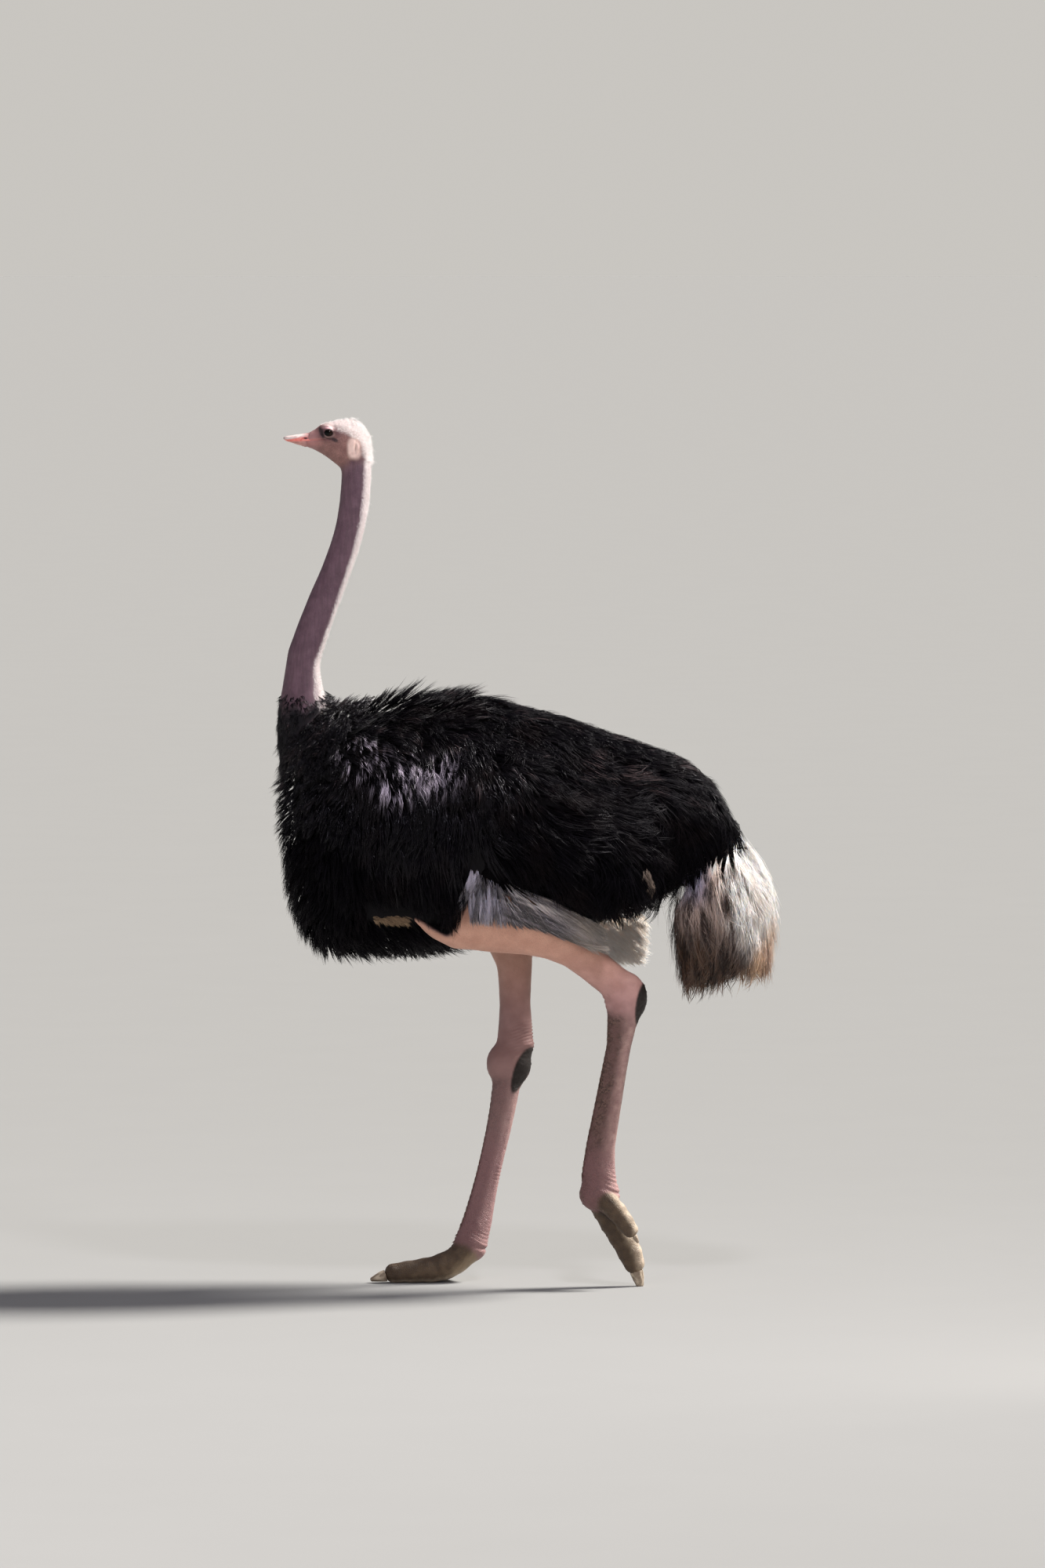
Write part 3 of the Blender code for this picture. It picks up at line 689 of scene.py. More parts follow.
# ---------------------------------------------------------------- plumage: closed, tapering strands
def strand_mesh(name, lines, outs, half_widths, patches):
    """One mesh of many three-sided strands.

    lines is (strands, stations, 3), its last station the tip.  outs points away from the body.
    patches holds each point's place on the bake map, (strands, stations, 2).
    """
    strands, stations = lines.shape[:2]
    along = unit(np.gradient(lines, axis=1))
    across = unit(np.cross(along, outs))
    outs = unit(np.cross(across, along))
    width = half_widths[:, :-1, None]
    ring = np.stack([lines[:, :-1] - across[:, :-1] * width,
                     lines[:, :-1] + outs[:, :-1] * width * BARB_RIDGE,
                     lines[:, :-1] + across[:, :-1] * width], axis=2)
    points = np.concatenate([ring.reshape(strands, -1, 3), lines[:, -1:]], axis=1)
    rings, tip = stations - 1, 3 * (stations - 1)
    faces = [(0, 2, 1)]
    for i in range(rings - 1):
        for a, b in ((0, 1), (1, 2), (2, 0)):
            faces += [(3 * i + a, 3 * i + b, 3 * i + 3 + b), (3 * i + a, 3 * i + 3 + b, 3 * i + 3 + a)]
    last = 3 * (rings - 1)
    faces += [(last + a, last + b, tip) for a, b in ((0, 1), (1, 2), (2, 0))]
    starts = np.arange(strands) * (tip + 1)
    triangles = (np.array(faces)[None] + starts[:, None, None]).reshape(-1, 3)
    mesh = mesh_from(name, points.reshape(-1, 3), triangles)
    ring_patch = np.repeat(patches[:, :-1], 3, axis=1)
    ring_patch[:, 0::3, 0] -= PATCH_HALF_WIDTH
    ring_patch[:, 2::3, 0] += PATCH_HALF_WIDTH
    places = np.concatenate([ring_patch, patches[:, -1:]], axis=1).reshape(-1, 2)
    layer = mesh.uv_layers.new(name="OFBake")
    layer.data.foreach_set("uv", places[triangles.ravel()].astype(np.float32).ravel())
    return mesh, tip + 1


def drape(ground, roots, way, lengths, depth, lift, droop, cling, curl):
    """Each plume's rachis: out of the skin, along the outline, then down under its own weight."""
    here = roots
    _, normals = ground.nearest(roots)
    lines, outs = [roots], [normals]
    for step in range(1, RACHIS_STATIONS):
        share = step / (RACHIS_STATIONS - 1)
        way = unit(way + DOWN * (droop * share)[:, None] + np.cross(normals, way) * (curl * share)[:, None])
        guess = here + way * (lengths / (RACHIS_STATIONS - 1))[:, None]
        spots, normals = ground.nearest(guess)
        height = ((guess - spots) * normals).sum(1)
        wanted = -depth * (1 - share) ** 2.0 + lift * share ** 2
        pull = np.where(height > wanted, cling * (0.35 + 0.65 * ease(-0.75, 0.1, normals[:, 2])), 1.0)
        guess = guess + normals * ((wanted - height) * pull)[:, None]
        way = unit(guess - here)
        here = guess
        lines.append(here)
        outs.append(normals)
    return np.stack(lines, 1), unit(np.stack(outs, 1))


def along_line(lines, share):
    """Points at the given shares (plumes, strands, stations) of polylines (plumes, stations, 3)."""
    last = lines.shape[1] - 1
    place = np.clip(share, 0, 1) * last
    low = np.minimum(place.astype(int), last - 1)
    t = (place - low)[..., None]
    plume = np.arange(len(lines))[:, None, None]
    return lines[plume, low] * (1 - t) + lines[plume, low + 1] * t


def plumes(name, lines, outs, places, rng, *, locks, barbs, width, spread, sweep, wave, depth, start=0.35,
           reach=0.8, quill=0.0, close=0.6, stations=4):
    """Lax feathers: each rachis carries locks of barbs that leave it on both sides and close up at the tips.

    width is one barb's, spread is how far the locks lean out, and start and reach are where a barb leaves the
    rachis and how far along it runs.  sweep, wave and depth make the barbs wander.
    """
    count, strands = len(lines), locks * barbs
    centre = np.repeat(np.linspace(-1, 1, locks)[None] + rng.normal(0, 0.16, (count, locks)), barbs, axis=1)
    apart = np.tile(np.linspace(-1, 1, barbs), locks)[None] + rng.normal(0, 0.25, (count, strands))
    begin = rng.uniform(0, start, (count, strands)) * (0.35 + 0.65 * np.abs(centre))
    lock_end = np.repeat(rng.uniform(0.7, 1.12, (count, locks)), barbs, axis=1)
    finish = np.clip(begin + reach * lock_end * rng.uniform(0.88, 1.06, (count, strands)), 0.35, 1.0)
    share = np.linspace(0, 1, stations)[None, None, :]

    def profile(*heights):
        return np.interp(share[0, 0], np.linspace(0, 1, len(heights)), heights)

    where = begin[..., None] + (finish - begin)[..., None] * share
    spine, up = along_line(lines, where), unit(along_line(outs, where))
    across = unit(np.cross(unit(np.gradient(spine, axis=2)), up))
    size = np.broadcast_to(np.asarray(spread, float), (count,))[:, None, None]

    def by_lock(scale):
        return np.repeat(rng.normal(0, scale, (count, locks)), barbs, axis=1)[..., None]

    # A feather is widest before its middle and narrows to a point.
    offset = centre[..., None] * size * share ** 0.7 * ease(-0.30, 0.35, where) \
        * (1 - close * ease(0.40, 1.0, where))
    offset = offset + apart[..., None] * size * 0.9 / locks * profile(0.2, 1.0, 0.7, 0.1)
    offset = offset + by_lock(sweep) * size * share ** 2
    offset = offset + rng.normal(0, 0.3 * sweep, (count, strands, 1)) * size * share ** 2
    turn = np.repeat(rng.uniform(0, math.tau, (count, locks)), barbs, axis=1)[..., None]
    offset = offset + wave * np.sin(turn + share * 4.5) * share
    raised = (by_lock(0.8) + rng.normal(0, 0.6, (count, strands, 1))) * depth * (0.3 + 0.7 * share)
    raised = raised + wave * np.cos(turn + share * 5.5) * share
    barb_lines = spine + across * offset[..., None] + up * raised[..., None]
    half = np.broadcast_to(np.asarray(width, float), (count,))[:, None, None] * profile(0.6, 1.0, 0.75, 0.0)
    half = half * rng.uniform(0.7, 1.25, (count, strands, 1)) * 0.5
    shafts = np.zeros((count, strands))
    if quill:
        # The middle barb of each feather becomes its bare, pale shaft.
        shaft = strands // 2
        shafts[:, shaft] = 1.0
        rachis = along_line(lines, share * np.full((count, 1, 1), 0.96))[:, 0]
        barb_lines[:, shaft] = rachis + up[:, shaft] * depth
        half[:, shaft] = quill * profile(1.0, 0.8, 0.5, 0.0)
    patch = places[:, None, None, :] + np.stack(
        [0.0013 * np.clip(centre, -1, 1)[..., None] * np.ones_like(share), 0.0028 * (where - 0.5)], -1)
    total = count * strands
    mesh, per = strand_mesh(name, barb_lines.reshape(total, stations, 3), up.reshape(total, stations, 3),
                            half.reshape(total, stations), patch.reshape(total, stations, 2))
    # Each plume, lock and barb has a tone of its own.
    tone = 0.45 * rng.uniform(size=(count, 1)) \
        + 0.25 * np.repeat(rng.uniform(size=(count, locks)), barbs, axis=1) \
        + 0.30 * rng.uniform(size=(count, strands))
    set_attribute(mesh, "tone", np.repeat(tone.ravel(), per))
    along = np.concatenate([np.repeat(where[..., :-1], 3, axis=-1), where[..., -1:]], -1)
    set_attribute(mesh, "along", along.ravel())
    set_attribute(mesh, "shaft", np.repeat(shafts.ravel(), per))
    return mesh


def swirl(spots, size, seed):
    """A smooth, wandering vector over space: neighbours get nearly the same one."""
    rng = np.random.default_rng(seed)
    total = np.zeros_like(spots)
    for _ in range(5):
        total += np.sin(spots @ rng.normal(0, 1 / size, (3, 3)) + rng.uniform(0, math.tau, 3))
    return total / 2.4


def cut_short(lines, outs, allowed):
    """Shortens each line to its allowed stretch.  Also says which keep enough length to be worth having."""
    fine = along_line(lines, np.linspace(0, 1, 25)[None, None, :] + np.zeros((len(lines), 1, 1)))[:, 0]
    bad = ~allowed(fine)
    first = np.where(bad.any(1), bad.argmax(1), 24) / 24.0
    share = np.linspace(0, 1, lines.shape[1])[None, None, :] * first[:, None, None]
    return along_line(lines, share)[:, 0], unit(along_line(outs, share)[:, 0]), first > 0.42


def scatter(points, triangles, spacing, rng, keep):
    """Loose spots spread evenly over a surface, at least spacing apart, with their normals."""
    corners = points[triangles]
    faces = np.cross(corners[:, 1] - corners[:, 0], corners[:, 2] - corners[:, 0])
    area = np.linalg.norm(faces, axis=1) / 2
    tries = int(area.sum() / spacing ** 2 * 5)
    face = rng.choice(len(triangles), tries, p=area / area.sum())
    a, b = rng.uniform(size=(2, tries))
    flip = a + b > 1
    a, b = np.where(flip, 1 - a, a), np.where(flip, 1 - b, b)
    spots = corners[face, 0] + a[:, None] * (corners[face, 1] - corners[face, 0]) \
        + b[:, None] * (corners[face, 2] - corners[face, 0])
    normals = unit(faces[face])
    kept = keep(spots, normals)
    spots, normals = spots[kept], normals[kept]
    cells, chosen = {}, []
    for i, (cell, spot) in enumerate(zip(np.floor(spots / spacing).astype(int).tolist(), spots.tolist())):
        near = (cells.get((cell[0] + dx, cell[1] + dy, cell[2] + dz), ())
                for dx in (-1, 0, 1) for dy in (-1, 0, 1) for dz in (-1, 0, 1))
        if all(sum((s - t) ** 2 for s, t in zip(spot, other)) >= spacing ** 2
               for group in near for other in group):
            cells.setdefault(tuple(cell), []).append(spot)
            chosen.append(i)
    return spots[chosen], normals[chosen]


def body_map(roots, axis_z=1.15):
    """A root's place on the trunk unrolled about its long axis."""
    low, high = cad_box
    turn = np.arctan2(roots[:, 1], roots[:, 2] - axis_z) / math.tau + 0.5
    along = (roots[:, 0] - low[0]) / (high[0] - low[0])
    return np.stack([0.01 + 0.98 * turn, 0.01 + 0.98 * along], 1)


def upright_map(roots, centre_x, centre_y, low, high):
    """A root's place on an upright part unrolled about its own axis."""
    turn = np.arctan2(roots[:, 1] - centre_y, roots[:, 0] - centre_x) / math.tau + 0.5
    return np.stack([0.01 + 0.98 * turn, 0.01 + 0.98 * np.clip((roots[:, 2] - low) / (high - low), 0, 1)], 1)


def finish_piece(name, mesh, material, slot, *nodes):
    """Gives a mesh its material and the root body, and says which solids it replaces.  slot is not used."""
    piece = object_from(name, mesh)
    mesh.materials.append(material)
    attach(piece, "root")
    if nodes:
        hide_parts(*nodes)
    return piece


def body_outline():
    """The trunk, wings and collar as one smooth outline for the plumage to lie in."""
    shapes = [node_shape(node, 0.0, 0.001) for node in ("trunk", "wing_left", "wing_right", "neck_base")]
    points, triangles = fused(shapes, 0.012)
    return faired(points, triangles, 4), triangles


def lie_of_plumage(spots, normals, rng):
    """Which way the body plumes point before they are laid along the surface.

    Also gives how far each one is on top, in front, on the rump, underneath, and in the front half.
    """
    x, _, z = spots.T
    top = ease(0.45, 0.9, normals[:, 2])
    front = 1 - ease(-0.54, -0.38, x)
    rump = ease(0.34, 0.50, x)
    fore = 1 - ease(-0.20, -0.06, x)
    under = ease(0.2, 0.8, -normals[:, 2])

    def blend(first, second, share):
        return first * (1 - share)[:, None] + second * share[:, None]

    def towards(dx, dz):
        return unit(np.stack(np.broadcast_arrays(dx + 0 * x, 0 * x, dz + 0 * x), 1))

    # Flanks: a fall of plumes over the shoulder, then long wing feathers that run back and down.
    high = ease(1.16, 1.40, z)
    fall = towards(0.12 + 0.95 * high, -1.0 + 0.50 * high)
    swept = towards(0.95, -0.50 - 0.30 * (1 - high) - 0.25 * ease(0.1, 0.35, x))
    way = blend(swept, fall, fore)
    way = blend(way, towards(1.0, -0.02), top)
    way = blend(way, blend(towards(0.10, -1.0), towards(0.85, -0.45), ease(1.20, 1.44, z)), front)
    way = blend(way, towards(0.60 - 0.45 * (1 - ease(1.10, 1.24, z)), -0.85), rump)
    way = blend(way, towards(0.45, -0.6), under)
    ruffle = 0.26 + 0.12 * (1 - fore) * (1 - under)
    way = unit(way) + swirl(spots, 0.030, 5) * ruffle[:, None] + rng.normal(0, 0.13, spots.shape)
    way -= normals * (way * normals).sum(1)[:, None] * 0.9
    return unit(way), top, front, rump, under, fore


def wing_hem(x):
    """Lowest height of the near plumage along the flank, over the bare thigh and the pale feathers."""
    edge = ((-0.44, 0.80), (-0.405, 0.940), (-0.390, 0.966), (-0.290, 0.978), (-0.278, 0.962),
            (-0.246, 0.954), (-0.212, 0.942), (-0.202, 0.926), (-0.182, 0.906), (-0.160, 0.902),
            (-0.152, 1.080), (-0.125, 1.118), (-0.083, 1.060), (-0.016, 1.024), (0.092, 0.988),
            (0.205, 0.945), (0.29, 0.966), (0.36, 1.005), (0.40, 0.90))
    return np.interp(x, *zip(*edge))


def flight_hem(x):
    """Where the near flight feathers end, along the upper edge of the bare thigh."""
    edge = ((-0.14, 0.941), (0.04, 0.926), (0.14, 0.890), (0.204, 0.850), (0.24, 0.824))
    return np.interp(x, *zip(*edge))


def body_regions(spots, top):
    """The piece of plumage that each plume belongs to."""
    x, y, z = spots.T
    region = np.select([(x < -0.44) & (z > 1.2), x < -0.44, x >= 0.36, top > 0.35, z > 1.17],
                       ["shoulders", "breast", "rump", "back", "flank"], "side")
    end = np.where(x < -0.1, "_fore_", "_rear_")
    side = np.where(y < 0, "left", "right")
    paired = (region == "flank") | (region == "side")
    return np.where(paired, np.char.add(np.char.add(region, end), side), region)


def build_body_plumage(material, glossy):
    """Lax black plumes over the trunk and the wings, in one piece for each region."""
    rng = np.random.default_rng(11)
    points, triangles = body_outline()
    ground = Ground(points, triangles)
    legs = [Ground(*node_shape(f"drumstick_{side}", 0.0, 0.002)) for side, _ in SIDES]
    neck = middle("neck_base")

    def off_neck(spots, normals):
        # The belly is thinly covered.
        hidden = (normals[:, 2] < -0.55) & (rng.uniform(size=len(spots)) < 0.30)
        near_neck = np.hypot(spots[:, 0] - neck[0] + 0.02, spots[:, 1]) < 0.072
        return ~hidden & ~(near_neck & (spots[:, 2] > 1.42))

    spots, normals = scatter(points, triangles, 0.0147, rng, off_neck)
    way, top, front, rump, under, fore = lie_of_plumage(spots, normals, rng)
    depth = PLUME_DEPTH * (0.80 + 0.2 * rng.uniform(size=len(spots)))
    roots = spots - normals * depth[:, None]
    x, y, z = spots.T
    flank = 1 - np.maximum.reduce([top, under])
    shoulder = (1 - ease(-0.46, -0.34, x)) * ease(1.12, 1.24, z)
    cape = bump_at(np.hypot(x + 0.27, (z - 1.36) * 0.8), 0.13) * flank
    lengths = 0.110 + 0.052 * flank * (1 - front) - 0.010 * front - 0.012 * under + 0.015 * top + 0.030 * cape
    lengths = lengths * (1 - 0.38 * shoulder) + 0.035 * ease(0.36, 0.44, x) * (1 - ease(1.14, 1.22, z))
    lengths *= rng.uniform(0.75, 1.2, len(spots)) * (1 + 0.20 * swirl(spots, 0.03, 6)[:, 0])
    # Two ruffled tufts rise along the middle of the back.
    crest = top * (1.2 * bump_at(x + 0.372, 0.042) + 1.0 * bump_at(x + 0.225, 0.042)) * bump_at(y, 0.11)
    lengths *= 1 + 0.15 * crest
    way = unit(way + np.stack([0.0 * x, 0.0 * x, 0.42 * crest], 1))
    tuft = np.clip(swirl(spots, 0.028, 7)[:, 1], 0, 1)
    lift = 0.002 + 0.006 * rng.uniform(size=len(spots)) + 0.036 * crest + 0.008 * front + 0.004 * rump \
        + 0.004 * under + 0.011 * tuft * flank - 0.021 * top * ease(-0.30, -0.10, x)
    droop = 0.10 + 0.35 * flank * fore + 0.25 * rump + 0.10 * front - 0.16 * top
    cling = np.full(len(spots), 0.75) - 0.35 * front - 0.3 * rump - 0.45 * np.clip(crest, 0, 1)
    curl = 0.30 * swirl(spots, 0.060, 21)[:, 2] + rng.normal(0, 0.10, len(spots)) + 0.25 * np.sign(y) * cape
    lines, outs = drape(ground, roots, way, lengths, depth, lift, droop, cling, curl)
    ragged = rng.normal(0, 0.009, len(spots)) + 0.008 * swirl(spots, 0.02, 8)[:, 0]

    def above_hem(path):
        inner = np.abs(path[..., 1]) < 0.135
        # The far leg stands upright, so on its side the breast plumage hangs on down in front of it.
        hem = np.where((path[..., 1] > 0) & (path[..., 0] < -0.15), 0.0, wing_hem(path[..., 0]))
        return inner | (path[..., 2] > hem + ragged[:, None]) | (path[..., 0] > 0.42)

    lines, outs, clear = cut_short(lines, outs, above_hem)
    # No plume runs into a bare thigh.
    for leg in legs:
        for station in range(2, RACHIS_STATIONS):
            spots_on_leg, leg_normals = leg.nearest(lines[:, station])
            apart = lines[:, station] - spots_on_leg
            buried = ((apart * leg_normals).sum(1) < -0.003) & (np.linalg.norm(apart, axis=1) < 0.05)
            clear &= ~buried
    region = body_regions(spots, top)
    for name in sorted(set(region)):
        chosen = clear & (region == name)
        if not chosen.any():
            continue
        mesh = plumes(f"plumes_{name}", lines[chosen], outs[chosen], body_map(roots[chosen]), rng, locks=3,
                      barbs=4, width=0.0025, spread=0.0150, sweep=0.32, wave=0.0030, depth=0.0034)
        replaced = {"side_rear_left": ["wing_left"], "side_rear_right": ["wing_right"]}.get(name, [])
        dress = glossy if name in ("shoulders", "flank_fore_left", "flank_fore_right") else material
        finish_piece(f"plumes_{name}", mesh, dress, "black_plumage", *replaced)


def build_collar(material):
    """Short black plumes round the foot of the neck, with a ragged upper edge."""
    rng = np.random.default_rng(12)
    shapes = [node_shape(node, 0.0, 0.001) for node in ("neck_base", "neck_lower", "trunk")]
    points, triangles = fused(shapes, 0.008)
    points = faired(points, triangles, 5)
    low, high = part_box("neck_base")
    centre = middle("neck_base")

    def keep(spots, normals):
        turn = np.arctan2(spots[:, 1], spots[:, 0] - centre[0])
        edge = high[2] + 0.012 * np.sin(turn * 7) - 0.004 + rng.normal(0, 0.011, len(spots))
        near = np.hypot(spots[:, 0] - centre[0], spots[:, 1]) < 0.17
        return near & (spots[:, 2] < edge) & (spots[:, 2] > low[2] + 0.02) & (normals[:, 2] < 0.93)

    spots, normals = scatter(points, triangles, 0.0088, rng, keep)
    behind = ease(-0.2, 0.6, normals[:, 0]) * ease(low[2] + 0.05, low[2] + 0.10, spots[:, 2])
    depth = np.full(len(spots), 0.007)
    roots = spots - normals * depth[:, None]
    way = unit(np.stack([0.05 + 0.75 * behind, 0 * behind, -1.0 + 0.35 * behind], 1)
               + swirl(spots, 0.02, 9) * 0.18 + rng.normal(0, 0.12, spots.shape))
    # The topmost plumes are the shortest.
    lengths = rng.uniform(0.8, 1.25, len(spots)) \
        * (0.026 + 0.042 * (1 - ease(high[2] - 0.06, high[2], spots[:, 2])))
    lengths *= 1 + 0.35 * behind
    depth = np.minimum(depth, lengths * 0.2)
    lift = rng.uniform(0.001, 0.007, len(spots)) + 0.012 * behind
    lines, outs = drape(Ground(points, triangles), roots, way, lengths, depth, lift, 0 * lengths,
                        0.8 - 0.5 * behind, rng.normal(0, 0.25, len(spots)))
    mesh = plumes("collar", lines, outs, upright_map(roots, centre[0], 0, low[2], high[2]), rng, locks=3,
                  barbs=3, width=0.0022, spread=0.0090, sweep=0.4, wave=0.0015, depth=0.002, stations=3)
    finish_piece("collar", mesh, material, "black_plumage")


def build_tail(material):
    """A drooping brush of long, soft, wavy plumes whose lower end rises towards the back."""
    rng = np.random.default_rng(13)
    points, triangles = fused([node_shape("tail", 0.0, 0.0)], 0.010)
    points = faired(points, triangles, 4)
    ground = Ground(points, triangles)
    low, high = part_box("tail")
    spots, normals = scatter(points, triangles, 0.0158, rng, lambda s, n: s[:, 2] > low[2] + 0.06)
    depth = rng.uniform(0.006, 0.050, len(spots))
    roots = spots - normals * depth[:, None]
    out = normals * np.array([1.0, 1.0, 0.0])
    way = unit(np.array([0.10, 0.0, -1.0]) + 0.12 * out + swirl(spots, 0.035, 10) * 0.24
               + rng.normal(0, 0.08, spots.shape))
    lobes = 0.024 * swirl(spots * np.array([1.0, 1.0, 0.2]), 0.022, 12)[:, 0]
    hem = low[2] + 0.012 + 0.34 * np.clip(spots[:, 0] - high[0] + 0.12, 0, 1) + lobes
    lengths = np.minimum(rng.uniform(0.13, 0.25, len(spots)), spots[:, 2] - hem + 0.012)
    behind = ease(0.55, 0.95, (spots[:, 0] - low[0]) / (high[0] - low[0]))
    lift = rng.uniform(-0.004, 0.008, len(spots)) + 0.016 * np.clip(swirl(spots, 0.03, 11)[:, 0], 0, 1)
    lift += 0.012 * behind * rng.uniform(0, 1, len(spots)) ** 2
    curl = 0.40 * swirl(spots, 0.06, 22)[:, 1] + rng.normal(0, 0.14, len(spots))
    droop, cling = np.full(len(spots), 0.22), np.full(len(spots), 0.45)
    lines, outs = drape(ground, roots, way, lengths, depth, lift, droop, cling, curl)
    lines[:, :, 2] = np.maximum(lines[:, :, 2], low[2] - 0.010)
    long_enough = lengths > 0.035
    centre = middle("tail")
    mesh = plumes("tail_plumes", lines[long_enough], outs[long_enough],
                  upright_map(roots[long_enough], centre[0], centre[1], low[2], high[2]), rng, locks=4,
                  barbs=4, width=0.0017, spread=0.017, start=0.45, reach=0.70, sweep=0.46, wave=0.0055,
                  depth=0.006, quill=0.0004, close=0.40)
    finish_piece("tail_plumes", mesh, material, "white_plumage", "tail")


def build_primaries(silky, fluffy):
    """Strands that hang from under each folded wing, silky on the near side, where long flight feathers trail
    behind them, and fluffy on the far side."""
    for side, _ in SIDES:
        rng = np.random.default_rng(14)
        node = f"primaries_{side}"
        near = side == "left"
        low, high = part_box(node)
        points, triangles = fused([node_shape(node, 0.0, 0.0)], 0.006)
        points = faired(points, triangles, 3)
        ground = Ground(points, triangles)
        spots, normals = scatter(points, triangles, 0.0118, rng, lambda s, n: s[:, 0] < high[0] - 0.05)
        roots = spots - normals * 0.004
        # The feathers fan out: the front ones hang, the rear ones trail.
        fan = ease(0.16, 0.42, (spots[:, 0] - low[0]) / (high[0] - low[0]))
        slope = -0.44 if near else -0.80
        way = unit(np.stack([0.06 + 0.94 * fan, 0 * fan, slope * fan - 1.0 * (1 - fan)], 1)
                   + swirl(spots, 0.05, 15) * 0.08 + rng.normal(0, 0.035, spots.shape))
        reach = rng.uniform(0.10, 0.20, len(spots)) + 0.10 * fan * near
        lengths = np.minimum(reach, high[0] - spots[:, 0] + 0.020)
        depth, lift = np.full(len(spots), 0.004), rng.uniform(0.0, 0.006, len(spots))
        lines, outs = drape(ground, roots, way, lengths, depth, lift, 0.06 + 0 * lift, 0.6 + 0 * lift,
                            rng.normal(0, 0.10, len(spots)))
        ragged = rng.normal(0, 0.004, len(spots))

        def above_hem(path):
            bottom = flight_hem(path[..., 0]) if near else low[2] - 0.006
            return path[..., 2] > bottom + ragged[:, None]

        lines, outs, clear = cut_short(lines, outs, above_hem)
        kept = clear | (np.linalg.norm(lines[:, -1] - lines[:, 0], axis=1) > 0.035)
        trailing = kept & (fan > 0.5) & near
        for label, chosen, locks, sweep, wave in (("strands", kept & ~trailing, 3, 0.25, 0.0022),
                                                  ("feathers", trailing, 5, 0.05, 0.0004)):
            if not chosen.any():
                continue
            mesh = plumes(f"{node}_{label}", lines[chosen], outs[chosen], body_map(roots[chosen]), rng,
                          locks=locks, barbs=4, width=0.0015, spread=0.0085, start=0.45, reach=0.80,
                          sweep=sweep, wave=wave, depth=0.0010, quill=0.0006 if label == "feathers" else 0.0,
                          close=0.3)
            finish_piece(f"{node}_{label}", mesh, silky if near else fluffy, "white_plumage",
                         *([node] if label == "strands" else []))


def laid_tuft(name, rng, start, heading, lengths, material, width, spread):
    """A thin fringe of plumes laid over the near plumage from given places, seen from the near side."""
    count = len(start)
    ground = Ground(*body_outline())
    hits = [ground.tree.ray_cast(Vector(place), Vector((0.0, 1.0, 0.0))) for place in start.tolist()]
    spots = np.array([hit[0] if hit[0] else place for hit, place in zip(hits, start.tolist())])
    normals = np.array([hit[1] if hit[0] else (0.0, -1.0, 0.0) for hit in hits])
    way = unit(heading + rng.normal(0, 0.10, spots.shape))
    lift = rng.uniform(0.002, 0.007, count)
    lines, outs = drape(ground, spots + normals * 0.001, way, lengths, 0 * lift, lift, np.full(count, 0.10),
                        np.full(count, 0.8), rng.normal(0, 0.20, count))
    mesh = plumes(name, lines, outs, body_map(spots), rng, locks=3, barbs=3, width=width, spread=spread,
                  sweep=0.4, wave=0.0012, depth=0.0015, stations=3)
    finish_piece(name, mesh, material, "white_plumage")


def thigh_tuft(rng, material):
    """Tawny down where the near thigh leaves the breast plumage."""
    count = 130
    along = rng.uniform(0, 1, count) ** 0.8
    start = np.stack([-0.388 + 0.082 * along, np.full(count, NEAR_Y),
                      0.949 + rng.uniform(-0.009, 0.010, count) * (0.5 + 0.5 * along)], 1)
    lengths = rng.uniform(0.018, 0.036, count)
    laid_tuft("thigh_tuft", rng, start, np.array([1.0, 0.0, -0.55]), lengths, material, width=0.0013,
              spread=0.0034)


def vent_tuft(rng, material):
    """A brown wisp under the near wing's rear end."""
    count = 34
    along = rng.uniform(0, 1, count)
    start = np.stack([0.300 + 0.022 * along + rng.normal(0, 0.004, count), np.full(count, NEAR_Y),
                      1.082 - 0.050 * along], 1)
    lengths = rng.uniform(0.022, 0.042, count)
    laid_tuft("vent_tuft", rng, start, np.array([0.40, 0.0, -1.0]), lengths, material, width=0.0012,
              spread=0.0036)


def strand_tip(rng, material):
    """The pale strands' upper tip, laid over the black flank."""
    count = 210
    along = rng.uniform(0, 1, count) ** 1.3
    x = -0.146 + 0.135 * along + 0.012 * rng.uniform(0, 1, count)
    top = np.interp(x, (-0.15, -0.13, -0.083, -0.016), (1.085, 1.088, 1.044, 1.010))
    start = np.stack([x, np.full(count, NEAR_Y), top - 0.035 * rng.uniform(0, 1, count)], 1)
    heading = np.stack([0.06 + 4.5 * (x + 0.146), 0 * x, -1.0 + 0 * x], 1)
    laid_tuft("strand_tip", rng, start, heading, rng.uniform(0.06, 0.11, count), material, width=0.0015,
              spread=0.0070)


